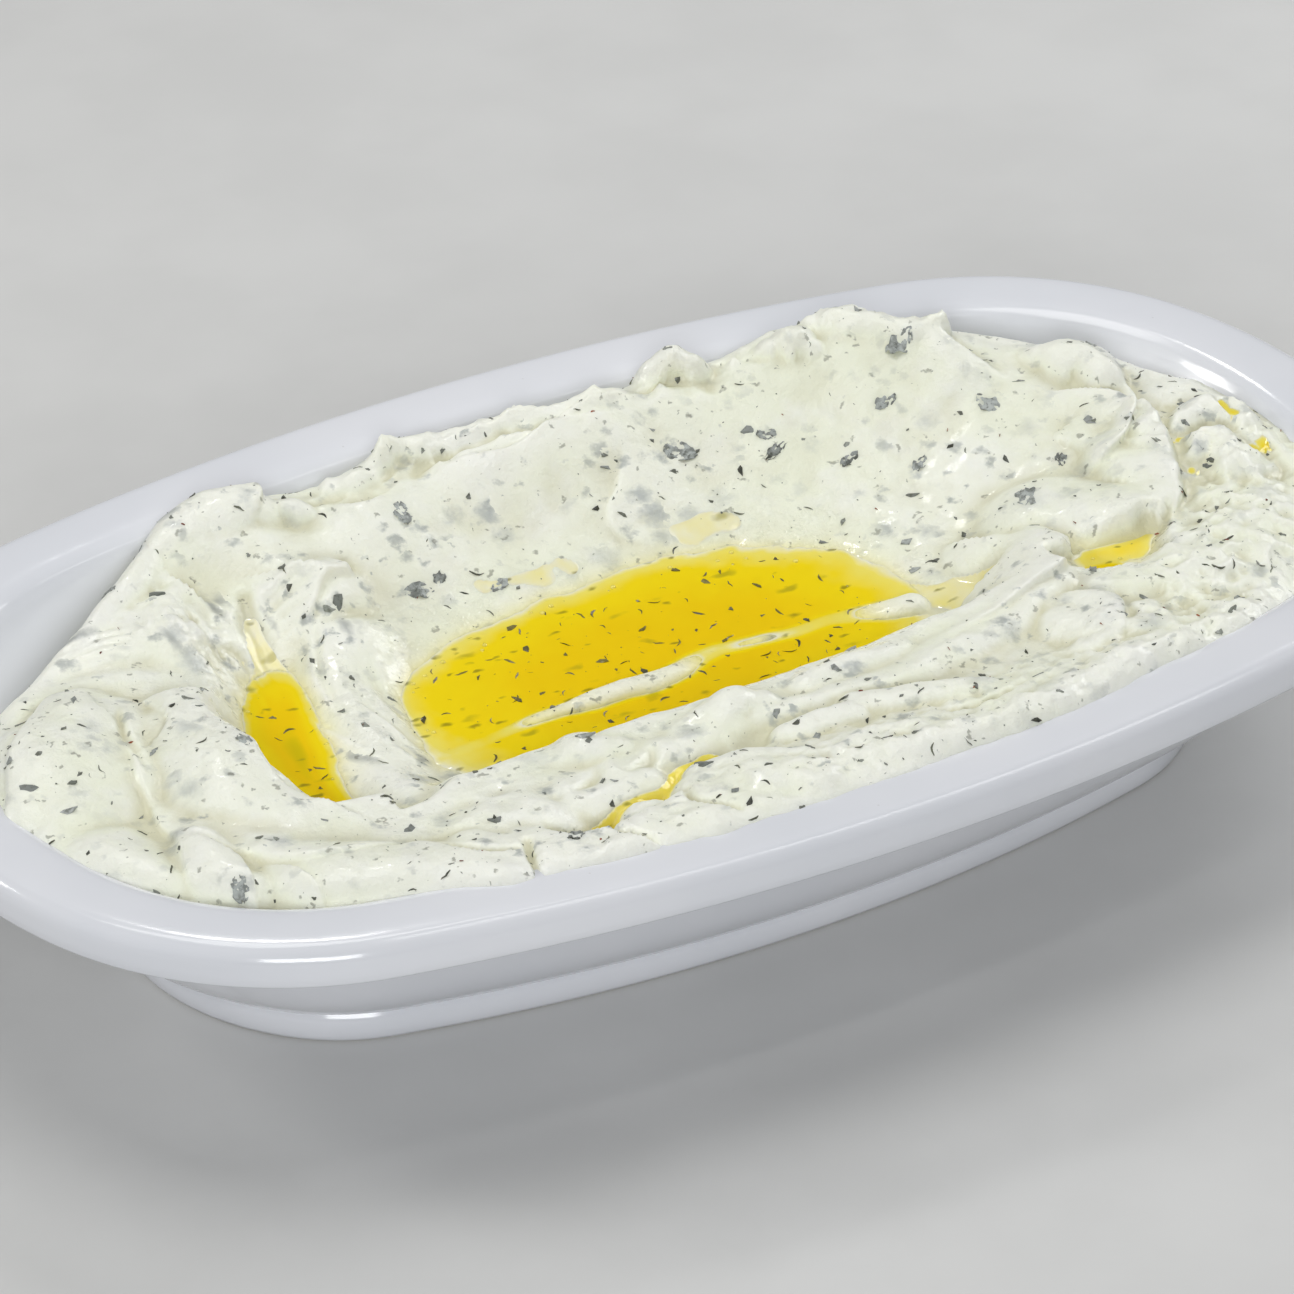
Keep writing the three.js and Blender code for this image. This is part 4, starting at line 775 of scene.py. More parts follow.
def yogurt_finish():
    yogurt = Finish("herbed_yogurt", IOR=1.42, Coat_Roughness=0.07, Coat_IOR=1.38, Subsurface_Weight=0.4,
                    Subsurface_Scale=0.0013)
    yogurt.shader.subsurface_method = "BURLEY"
    yogurt.shader.inputs["Subsurface Radius"].default_value = (1.0, 0.92, 0.7)

    def mark(name):
        return yogurt.node("ShaderNodeAttribute", {"attribute_name": name}, output="Fac")

    # uneven cream tone, with painted shade in the creases, painted light on the ridges, and yellow near the
    # oil from soaked-in oil and a painted glow of light scattered through it
    broad = yogurt.noise(26, detail=3.0)
    patches = yogurt.noise(7, detail=3.0)
    cream = yogurt.mix(broad.rise(0.35, 0.68), (0.805, 0.825, 0.67), (0.835, 0.845, 0.74))
    cream = yogurt.mix(patches.rise(0.45, 0.75) * 0.5, cream, (0.84, 0.845, 0.81))
    relief_shade_mark = mark("creases")
    # painted shade: darker, warmer cream in the creases
    cream = yogurt.mix(relief_shade_mark.clamped() * 0.9, cream, (0.62, 0.605, 0.43))
    # painted light: paler cream on ridges and tops
    cream = yogurt.mix((-relief_shade_mark).clamped() * 0.5, cream, (0.88, 0.88, 0.83))
    # yellow near the oil: soaked-in oil and a painted glow of light scattered through it
    cream = yogurt.mix((mark("soaked") * (0.6 + 0.8 * patches)).clamped() * 0.92, cream, (0.82, 0.72, 0.16))
    # herbs under the surface show as soft grey and blue-grey spots, drawn out where the spoon dragged
    wander = yogurt.noise(2.2, detail=3.0, rough=0.6, output="Color")
    bent = yogurt.node("ShaderNodeVectorMath", {"operation": "MULTIPLY_ADD"},
                       {0: wander, 1: (0.004, 0.004, 0.004), 2: yogurt.place})
    along_marks = {0: mark("comb_across") * MM, 1: mark("comb_along") * (0.3 * MM)}
    drawn_out = yogurt.node("ShaderNodeCombineXYZ", {}, along_marks)
    drawn_out = yogurt.node("ShaderNodeVectorMath", {"operation": "MULTIPLY_ADD"},
                            {0: wander, 1: (0.0016, 0.0016, 0.0), 2: drawn_out})

    def spots(spacing_mm, radius, share, edge, at=bent):
        inputs = {"Vector": at, "Scale": 1 / (spacing_mm * MM), "Randomness": 1.0}
        distance = yogurt.node("ShaderNodeTexVoronoi", {}, inputs, output="Distance")
        chance = yogurt.node("ShaderNodeSeparateColor", {}, {0: distance.beside("Color")}, output=0)
        size = chance.rise(1 - share, 1.0) * radius
        return (1.0 - (distance / (size + 0.001)).rise(edge, 1.0)) * chance.rise(1 - share, 1.02 - share)

    crowd = 0.35 + 0.65 * broad.rise(0.4, 0.6)
    sunk = spots(5.4, 0.62, 0.5, 0.1) * crowd
    small = spots(2.7, 0.62, 0.5, 0.15) * crowd
    dots = spots(1.6, 0.42, 0.3, 0.4)
    streaks = spots(2.0, 0.75, 0.6, 0.1, drawn_out) * mark("comb_share").rise(0.05, 0.6)
    herb_tone = yogurt.mix(wander, (0.20, 0.235, 0.25), (0.30, 0.335, 0.37))
    colour = yogurt.mix(sunk * 0.62, cream, herb_tone)
    colour = yogurt.mix(small * 0.68, colour, (0.25, 0.28, 0.28))
    colour = yogurt.mix(streaks * 0.75, colour, (0.24, 0.26, 0.26))
    colour = yogurt.mix(dots * 0.6, colour, (0.15, 0.15, 0.11))
    # wet sheen in patches, fine curd grain
    wet = yogurt.noise(5, detail=3.0, rough=0.65).rise(0.44, 0.58) * (0.45 + 0.55 * mark("wetness"))
    curd = yogurt.noise(1.1, detail=3.0, rough=0.65)
    lumps = yogurt.noise(3.0, detail=2.0)
    height = curd * 0.55 + lumps * 0.7
    return yogurt.feed(Base_Color=colour, Roughness=0.46 - wet * 0.32, Coat_Weight=wet * 0.5,
                       Normal=yogurt.bump(height, 0.38))


def keep_attribute(piece, name, values):
    """Stores one number per point, for the materials and the strewing; the points left over get 0."""
    attribute = piece.data.attributes.new(name, "FLOAT", "POINT")
    padded = np.zeros(len(piece.data.vertices), np.float32)
    padded[:len(values)] = values
    attribute.data.foreach_set("value", padded)


haydari, haydari_corners = haydari_body(yogurt_finish())
for name, field in (("soaked", SOAK_AND_GLOW), ("wetness", WETNESS), ("creases", RELIEF_SHADE),
                    ("comb_across", worked.combed[:, 0]), ("comb_along", worked.combed[:, 1]),
                    ("comb_share", worked.combed[:, 2])):
    keep_attribute(haydari, name, field.ravel()[haydari_corners])
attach(haydari, "root")
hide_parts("haydari")


# ------------------------------------------------------------------ the olive oil
# The real piece is deep yellow olive oil, poured over last. It runs down into the hollow, the groove
# of the last stroke and the pocket under a lobe, and creeps a little up the haydari at its edge.

MENISCUS = 0.16  # height to which the oil creeps at its edge


def oil_finish():
    oil = Finish("olive_oil", IOR=1.47, Roughness=0.035, Specular_IOR_Level=0.4, Subsurface_Weight=0.25,
                 Subsurface_Scale=0.0015)
    oil.shader.subsurface_method = "BURLEY"
    oil.shader.inputs["Subsurface Radius"].default_value = (1.0, 0.8, 0.05)
    depth = oil.node("ShaderNodeAttribute", {"attribute_name": "depth"}, output="Fac")
    depth = (depth + (oil.noise(4, detail=2.0) - 0.5) * 0.25).over(0.0)
    # the deeper the oil, the less blue and green come back through it
    thin = oil.mix((depth / 0.22).clamped(), (0.83, 0.81, 0.60), (0.83, 0.72, 0.14))
    middle = oil.mix(depth.rise(0.12, 0.75), thin, (0.86, 0.65, 0.003))
    deep = oil.mix(depth.rise(0.8, 2.2), middle, (0.83, 0.56, 0.0))
    colour = oil.mix(depth.rise(2.2, 3.2), deep, (0.64, 0.49, 0.0))
    wander = oil.noise(3.0, detail=2.0, output="Color")
    bent = oil.node("ShaderNodeVectorMath", {"operation": "MULTIPLY_ADD"},
                    {0: wander, 1: (0.0022, 0.0022, 0.0022), 2: oil.place})
    bent = oil.node("ShaderNodeVectorMath", {"operation": "MULTIPLY"}, {0: bent, 1: (0.5, 1.1, 1.0)})

    def spots(spacing_mm, radius, share):
        inputs = {"Vector": bent, "Scale": 1 / (spacing_mm * MM), "Randomness": 1.0}
        distance = oil.node("ShaderNodeTexVoronoi", {}, inputs, output="Distance")
        chance = oil.node("ShaderNodeSeparateColor", {}, {0: distance.beside("Color")}, output=0)
        size = chance.rise(1 - share, 1.0) * radius
        return (1.0 - (distance / (size + 0.001)).rise(0.3, 1.0)) * chance.rise(1 - share, 1.02 - share)

    colour = oil.mix(spots(3.0, 0.42, 0.5) * 0.6, colour, (0.30, 0.26, 0.01))
    colour = oil.mix(spots(1.7, 0.42, 0.35) * 0.7, colour, (0.18, 0.16, 0.01))
    return oil.feed(Base_Color=colour, Normal=oil.bump(oil.noise(14, detail=1.0), 0.08))


def liquid_slab(name, corner_mask, top, bottom, material):
    """A closed body over the grid's squares that touch the mask, between two heights."""
    faces = cell_faces(square_cells(corner_mask, need_all=False))
    used, compact = np.unique(faces, return_inverse=True)
    compact = compact.reshape(faces.shape)
    n = len(used)
    flat = np.column_stack([GRID_X.ravel()[used], GRID_Y.ravel()[used]])
    points = np.vstack([
        np.column_stack([flat, top.ravel()[used]]), np.column_stack([flat, bottom.ravel()[used]]),
    ])
    all_faces = compact.tolist() + (compact[:, ::-1] + n).tolist()
    pairs = np.vstack([compact[:, [k, (k + 1) % 4]] for k in range(4)]).tolist()
    keys = {(a, b) for a, b in pairs}
    all_faces += [(b, a, a + n, b + n) for a, b in pairs if (b, a) not in keys]
    piece = mesh_piece(name, points, all_faces, material)
    depth = (top - SURFACE).ravel()[used]
    keep_attribute(piece, "depth", np.concatenate([depth, depth]))
    return piece


olive_oil = oil_finish()
oil_pieces = []
for place, cover in zip(OIL_PLACES, OIL_COVERS):
    level = place["level"]
    depth = np.maximum(level - SURFACE, 0)
    creep = MENISCUS * np.exp(-depth / 0.3)
    reached = connected((SURFACE < level + MENISCUS) & (spread(cover, 4) > 0), *place["seed"])
    piece = liquid_slab(place["name"], reached, level + creep, np.minimum(SURFACE, level) - 0.3, olive_oil)
    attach(piece, "root")
    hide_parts(place["node"])
    oil_pieces.append(piece)


# ------------------------------------------------------------------ the thin oil
# The real piece is the same oil where it only wets the haydari: pale films on the slopes by the hollow,
# small puddles between the lumps at the right end, a thread in the crease on the near side, and the
# narrow upper end of the streak.

# Puddles: where each lies, how far it may reach and the height of its surface above its lowest point.
PUDDLES = [
    {"seed": [79.5, -8], "reach": 5, "fill": 0.8}, {"seed": [93.8, 1.2], "reach": 3.4, "fill": 0.6},
    {"seed": [90.6, -7], "reach": 2.4, "fill": 0.5}, {"seed": [82.6, -3], "reach": 4, "fill": 0.6},
]
# Films: a line of places [x, y, reach], how far the skin stands over the smoothed slope, and its most.
FILMS = [
    {"line": [[31, -2, 2.6], [36, -7, 3.4], [41, -12, 3.8], [47, -15, 3.4]], "lift": 0.05, "most": 0.1},
    {"line": [[16, 22.2, 3], [20, 21.6, 3.2], [23, 20.4, 2.6]], "lift": 0.05, "most": 0.07},
    {"line": [[-34, -45, 2.2], [-28, -43, 2.4], [-21, -40.5, 2.4], [-14, -38.5, 2]],
     "lift": -0.3, "most": 0.3},
    {"line": [[-49, 27, 0.9], [-49.8, 24, 1.6], [-50.6, 20, 2.4], [-51.4, 17, 2.6]],
     "lift": 0.08, "most": 0.09},
    {"line": [[-15, 22.5, 2.4], [-9, 22, 2.6], [-3, 22, 2.4]], "lift": 0.03, "most": 0.06},
]


def film_top(film):
    """Height of a film's skin over the whole grid; it falls away at the film's wavy edge."""
    heap = Heap(GRID_X.ravel(), GRID_Y.ravel(), None)
    which, d, _, _, (reach,), _ = heap.near(film["line"], 1.5 * max(p[2] for p in film["line"]))
    cover = np.full(GRID_X.size, -9.0)
    wobble = waves(heap.x[which], heap.y[which], 3.9, 5) * 0.35
    cover[which] = np.clip(1 - d / reach + wobble, -9, 1)
    return spread(SURFACE, 40) + film["lift"] - 0.9 * np.clip(0.5 - cover.reshape(GRID_X.shape), 0, 9)


def thin_oil_piece():
    top = np.full(SURFACE.shape, -9.0)
    for film in FILMS:
        top = np.maximum(top, np.minimum(film_top(film), SURFACE + film["most"]))
    for puddle in PUDDLES:
        x, y = puddle["seed"]
        away = np.hypot(GRID_X - x, GRID_Y - y)
        lowest = SURFACE[away < puddle["reach"] / 2].min()
        for level in lowest + puddle["fill"] * np.linspace(1, 0.1, 10):
            pond = connected((SURFACE < level) & (away < puddle["reach"] + 1), x, y)
            if away[pond].max() < puddle["reach"]:
                break
        top = np.where(spread(pond, 1) > 0, np.maximum(top, level), top)
    thick = top - SURFACE
    covered = (spread(thick > 0, 1) > 0) & (spread(OIL_DEPTH > 0, 2) < 0.1) & (INSIDE > 2.5)
    skin = SURFACE + np.clip(thick, -0.2, 9)
    return liquid_slab("thin_oil", covered, skin, SURFACE - 0.4, olive_oil)


thin_oil = thin_oil_piece()
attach(thin_oil, "root")


# ------------------------------------------------------------------ the herbs and pepper
# The real pieces are crumbled dried mint, chopped dill and a little ground red pepper, beaten into the
# yogurt: grey-green to black chips and short threads that lie half sunk in every surface.

def chip_shape(name, seed, length, width, thick, corners, curl):
    """An irregular slab of leaf, bent along its length; sizes in millimetres."""
    dice = np.random.default_rng(seed)
    even = np.arange(corners) * 2 * math.pi / corners
    turn = np.sort(dice.uniform(0, 2 * math.pi, corners) * 0.4 + even * 0.6)
    far = dice.uniform(0.7, 1.1, corners)
    x, y = 0.5 * length * far * np.cos(turn), 0.5 * width * far * np.sin(turn)
    bend = curl * (x / length) ** 2 + dice.uniform(-0.12, 0.12, corners) * thick * 3
    points = [(x[k], y[k], bend[k] + side * thick / 2) for side in (1, -1) for k in range(corners)]
    points += [(0, 0, thick * 0.7), (0, 0, -thick * 0.5)]
    faces = []
    for k in range(corners):
        after = (k + 1) % corners
        faces.append((k, after, 2 * corners))
        faces.append((corners + after, corners + k, 2 * corners + 1))
        faces.append((corners + k, corners + after, after, k))
    return hidden_shape(name, points, faces)


def thread_shape(name, seed, length, width, curl):
    """A short bent thread of dill with three sides."""
    dice = np.random.default_rng(seed)
    rings = 5
    points, faces = [], []
    for r in range(rings):
        t = r / (rings - 1) - 0.5
        slim = width * (0.35 + 0.65 * math.sin(math.pi * (t + 0.5)) ** 0.6)
        sway = curl * (4 * t * t - 0.4) + dice.uniform(-0.05, 0.05) * length
        for k in range(3):
            side = 2 * math.pi * k / 3
            points.append((length * t, sway + slim / 2 * math.cos(side), slim / 2 * math.sin(side)))
    for r in range(rings - 1):
        for k in range(3):
            a, b = r * 3 + k, r * 3 + (k + 1) % 3
            faces.append((a, b, b + 3, a + 3))
    faces += [(2, 1, 0), (rings * 3 - 3, rings * 3 - 2, rings * 3 - 1)]
    return hidden_shape(name, points, faces)


def hidden_shape(name, points, faces):
    """An object outside the scene, from points in millimetres."""
    mesh = bpy.data.meshes.new(name)
    mesh.from_pydata((np.array(points) * MM).tolist(), [], faces)
    mesh.update()
    return bpy.data.objects.new(name, mesh)


def shape_set(name, shapes):
    """A set of shapes to strew."""
    collection = bpy.data.collections.new(name)
    for shape in shapes:
        collection.objects.link(shape)
    return collection


def scatter_tree():
    """Geometry nodes: strews one of the shapes over a surface, laid flat, turned and sized at random."""
    tree = bpy.data.node_groups.new("strew", "GeometryNodeTree")
    sockets = {}
    for label, kind in (("Ground", "NodeSocketObject"), ("Shapes", "NodeSocketCollection"),
                        ("Cover", "NodeSocketString"), ("Spacing", "NodeSocketFloat"),
                        ("Density", "NodeSocketFloat"), ("Smallest", "NodeSocketFloat"),
                        ("Largest", "NodeSocketFloat"), ("Tilt", "NodeSocketFloat"),
                        ("Sink", "NodeSocketFloat"), ("Seed", "NodeSocketInt"),
                        ("Finish", "NodeSocketMaterial")):
        sockets[label] = tree.interface.new_socket(label, in_out="INPUT", socket_type=kind).identifier
    tree.interface.new_socket("Geometry", in_out="OUTPUT", socket_type="NodeSocketGeometry")
    given = tree.nodes.new("NodeGroupInput")

    def add(kind, settings=None, **links):
        node = tree.nodes.new(kind)
        for key, value in (settings or {}).items():
            setattr(node, key, value)
        for label, source in links.items():
            socket = next(i for i in node.inputs if i.name.replace(" ", "_") == label and i.enabled)
            if isinstance(source, (int, float, tuple, bool)):
                socket.default_value = source
            else:
                tree.links.new(source, socket)
        return node

    ground = add("GeometryNodeObjectInfo", Object=given.outputs["Ground"]).outputs["Geometry"]
    cover = add("GeometryNodeInputNamedAttribute", {"data_type": "FLOAT"}, Name=given.outputs["Cover"])
    spots = add("GeometryNodeDistributePointsOnFaces", {"distribute_method": "POISSON"}, Mesh=ground,
                Distance_Min=given.outputs["Spacing"], Density_Max=given.outputs["Density"],
                Density_Factor=cover.outputs["Attribute"], Seed=given.outputs["Seed"])
    shapes = add("GeometryNodeCollectionInfo", Collection=given.outputs["Shapes"], Separate_Children=True,
                 Reset_Children=True)
    spin = add("FunctionNodeRandomValue", {"data_type": "FLOAT_VECTOR"}, Seed=given.outputs["Seed"])
    tilt = add("ShaderNodeCombineXYZ", X=given.outputs["Tilt"], Y=given.outputs["Tilt"], Z=math.pi)
    angles = add("ShaderNodeVectorMath", {"operation": "MULTIPLY"})
    tree.links.new(spin.outputs["Value"], angles.inputs[0])
    tree.links.new(tilt.outputs["Vector"], angles.inputs[1])
    spin.inputs["Min"].default_value = (-1, -1, -1)
    spin.inputs["Max"].default_value = (1, 1, 1)
    turned = add("FunctionNodeRotateRotation", {"rotation_space": "LOCAL"},
                 Rotation=spots.outputs["Rotation"], Rotate_By=angles.outputs["Vector"])
    size = add("FunctionNodeRandomValue", {"data_type": "FLOAT"}, Min=given.outputs["Smallest"],
               Max=given.outputs["Largest"], Seed=given.outputs["Seed"])
    down = add("ShaderNodeVectorMath", {"operation": "SCALE"})
    tree.links.new(spots.outputs["Normal"], down.inputs[0])
    tree.links.new(given.outputs["Sink"], down.inputs["Scale"])
    settled = add("GeometryNodeSetPosition", Geometry=spots.outputs["Points"], Offset=down.outputs["Vector"])
    laid = add("GeometryNodeInstanceOnPoints", Points=settled.outputs["Geometry"],
               Instance=shapes.outputs["Instances"], Pick_Instance=True, Rotation=turned.outputs["Rotation"])
    size_output = next(o for o in size.outputs if o.enabled)
    tree.links.new(size_output, laid.inputs["Scale"])
    tone = add("FunctionNodeRandomValue", {"data_type": "FLOAT"}, Seed=77)
    tone_name = add("FunctionNodeInputString", {"string": "tone"})
    noted = add("GeometryNodeStoreNamedAttribute", {"data_type": "FLOAT", "domain": "INSTANCE"},
                Geometry=laid.outputs["Instances"], Name=tone_name.outputs[0])
    tone_output = next(o for o in tone.outputs if o.enabled)
    tree.links.new(tone_output, next(i for i in noted.inputs if i.name == "Value" and i.enabled))
    real = add("GeometryNodeRealizeInstances", Geometry=noted.outputs["Geometry"])
    dressed = add("GeometryNodeSetMaterial", Geometry=real.outputs["Geometry"],
                  Material=given.outputs["Finish"])
    tree.links.new(dressed.outputs["Geometry"], tree.nodes.new("NodeGroupOutput").inputs[0])
    return tree, sockets


STREW, STREW_INPUTS = scatter_tree()


def strewn(name, ground, shapes, cover, per_cm2, spacing_mm, sizes, seed, finish, tilt=0.2, sink_mm=0.0):
    """Strews shapes over the ground object, and returns them as one plain mesh."""
    holder = bpy.data.objects.new(name + "_nodes", bpy.data.meshes.new(name + "_nodes"))
    bpy.context.scene.collection.objects.link(holder)
    nodes = holder.modifiers.new("strew", "NODES")
    nodes.node_group = STREW
    values = {
        "Ground": ground, "Shapes": shapes, "Cover": cover, "Spacing": spacing_mm * MM,
        "Density": per_cm2 * 1e4, "Smallest": sizes[0], "Largest": sizes[1], "Tilt": tilt,
        "Sink": -sink_mm * MM, "Seed": seed, "Finish": finish,
    }
    for label, value in values.items():
        nodes[STREW_INPUTS[label]] = value
    bpy.context.view_layer.update()
    made = holder.evaluated_get(bpy.context.evaluated_depsgraph_get())
    mesh = bpy.data.meshes.new_from_object(made)
    mesh.name = name
    mesh.polygons.foreach_set("use_smooth", np.zeros(len(mesh.polygons), bool))
    piece = bpy.data.objects.new(name, mesh)
    bpy.context.scene.collection.objects.link(piece)
    bpy.data.objects.remove(holder)
    return piece


def herb_finish(name, darkest, lightest, edge):
    """Dry, veined leaf that runs from one tone to another from flake to flake."""
    herb = Finish(name, IOR=1.45, Coat_Weight=0.3, Coat_Roughness=0.15)
    tone = herb.node("ShaderNodeAttribute", {"attribute_name": "tone"}, output="Fac")
    veins = herb.noise(0.7, detail=3.0)
    colour = herb.mix(tone, darkest, lightest)
    colour = herb.mix(veins.rise(0.45, 0.65) * 0.6, colour, edge)
    rough = 0.35 + veins * 0.3
    return herb.feed(Base_Color=colour, Roughness=rough, Normal=herb.bump(veins, 0.12))


mint_green = herb_finish("dried_mint", (0.02, 0.022, 0.012), (0.27, 0.29, 0.25), (0.06, 0.063, 0.032))
sunk_mint = herb_finish("sunk_mint", (0.13, 0.145, 0.13), (0.38, 0.40, 0.38), (0.07, 0.078, 0.05))
oiled_herb = herb_finish("oiled_herb", (0.03, 0.026, 0.002), (0.22, 0.18, 0.01), (0.07, 0.06, 0.004))
dill_green = herb_finish("dill", (0.016, 0.018, 0.010), (0.17, 0.18, 0.12), (0.08, 0.088, 0.05))
pepper_red = herb_finish("red_pepper", (0.16, 0.018, 0.006), (0.36, 0.085, 0.015), (0.06, 0.008, 0.004))

bare = (OIL_DEPTH <= 0) & (INSIDE > 0.6)
crowding = 0.55 * waves(GRID_X, GRID_Y, 12.4, 22) + 0.35 * waves(GRID_X, GRID_Y, 9.1, 8)
crowding = np.clip(0.62 + crowding, 0.12, 1)
strew_cover = np.clip(spread(bare, 2) * 2 - 1, 0, 1) * crowding
keep_attribute(haydari, "herb_cover", strew_cover.ravel()[haydari_corners])

mint_chips = shape_set("mint_chips", [
    chip_shape("chip_%d" % k, 40 + k, 1.0 + 0.25 * (k % 3), 0.62 - 0.06 * (k % 4), 0.13, 6 + k % 3,
               0.5 - 0.15 * k)
    for k in range(8)
])
dill_threads = shape_set("dill_threads", [
    thread_shape("thread_%d" % k, 60 + k, 1.0, 0.20 + 0.03 * (k % 3), 0.07 * (k - 2)) for k in range(6)
])
herb_dust = shape_set("herb_dust", [
    chip_shape("dust_%d" % k, 80 + k, 1.0, 0.7, 0.4, 4, 0.0) for k in range(4)
])

strewings = [
    ("mint_flakes", mint_chips, 2.1, 1.6, (0.7, 1.8), 11, mint_green, 0.2, 0.04),
    ("large_mint_flakes", mint_chips, 0.6, 4.0, (1.6, 2.8), 5, sunk_mint, 0.16, 0.1),
    ("dill_threads", dill_threads, 1.5, 1.4, (0.8, 2.1), 23, dill_green, 0.14, 0.03),
    ("herb_dust", herb_dust, 6.5, 0.9, (0.22, 0.5), 31, mint_green, 0.6, 0.03),
    ("red_pepper_flakes", herb_dust, 0.42, 4.0, (0.45, 0.95), 47, pepper_red, 0.5, 0.03),
]
for name, shapes, per_cm2, spacing, sizes, seed, finish, tilt, sink in strewings:
    piece = strewn(name, haydari, shapes, "herb_cover", per_cm2, spacing, sizes, seed, finish, tilt, sink)
    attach(piece, "root")

for place, oil_piece, seed in zip(OIL_PLACES, oil_pieces, (3, 8, 13)):
    marks = np.zeros(len(oil_piece.data.vertices), np.float32)
    oil_piece.data.attributes["depth"].data.foreach_get("value", marks)
    marks = np.clip(marks * 2.5 - 0.4, 0, 1)
    marks[len(marks) // 2:] = 0
    keep_attribute(oil_piece, "afloat", marks)
    for kind, shapes, per_cm2, sizes, more in (("mint", mint_chips, 3.0, (0.6, 1.8), 0),
                                               ("dill", dill_threads, 3.6, (0.9, 2.2), 1),
                                               ("dust", herb_dust, 4.0, (0.2, 0.45), 2)):
        piece = strewn(place["name"] + "_" + kind, oil_piece, shapes, "afloat", per_cm2, 1.5, sizes,
                       seed + more, oiled_herb, 0.05, 0.05)
        if len(piece.data.vertices):
            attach(piece, "root")
        else:
            bpy.data.objects.remove(piece)


# ------------------------------------------------------------------ the large mint leaves
# The real pieces are the few mint leaves that stayed almost whole: crumpled, curled at the edges, dark
# green to brown, and stuck flat on the haydari.

# Each is [x, y, length, width, turn in degrees, tone].
LEAVES = [
    [22.5, 33.8, 4.6, 3.0, 150, 0.75], [35.2, 28.6, 4.2, 1.5, 20, 0.1], [35.2, 31.4, 2.8, 1.6, 160, 0.45],
    [43.7, 22.5, 3.2, 1.7, 15, 0.25], [53.1, 28.2, 3.4, 1.9, 0, 0.6], [57.8, -1.9, 4.6, 2.8, 60, 0.7],
    [65.3, 20.2, 3.8, 2.8, 110, 0.95], [59.2, 34.3, 4.2, 3.0, 10, 0.95], [-39.9, -48.5, 3.6, 2.2, 40, 0.0],
    [-20.7, 36.2, 3.6, 2.6, 80, 0.9], [-24.4, 24.9, 4.2, 2.6, 170, 0.5], [-20.5, 26, 2.6, 1.8, 60, 0.35],
    [67.6, 4.2, 3.0, 1.6, 60, 0.2], [51.7, 16.4, 3.0, 1.8, 30, 0.65], [-82.4, -36.2, 3.0, 2.0, 80, 0.8],
    [-13.1, 22.1, 3.2, 1.8, 20, 0.7], [-65.7, 37.1, 2.8, 1.6, 30, 0.3], [-68, -8, 3.0, 1.8, 90, 0.85],
]


def leaf_finish():
    """Soaked leaf under a skin of yogurt: mottled pale grey-green to near black."""
    leaf = Finish("mint_leaf", IOR=1.45, Coat_Weight=0.25, Coat_Roughness=0.2)
    tone = leaf.node("ShaderNodeAttribute", {"attribute_name": "tone"}, output="Fac")
    mottled = leaf.noise(1.3, detail=3.0, rough=0.6)
    veins = leaf.noise(0.6, detail=2.0)
    pale = (mottled.rise(0.36, 0.62) * 0.6 + tone * 0.5).clamped()
    colour = leaf.mix(pale, (0.045, 0.05, 0.035), (0.42, 0.45, 0.43))
    colour = leaf.mix(veins.rise(0.55, 0.7) * 0.6, colour, (0.03, 0.034, 0.022))
    return leaf.feed(Base_Color=colour, Roughness=0.4 + veins * 0.3, Normal=leaf.bump(mottled + veins, 0.15))


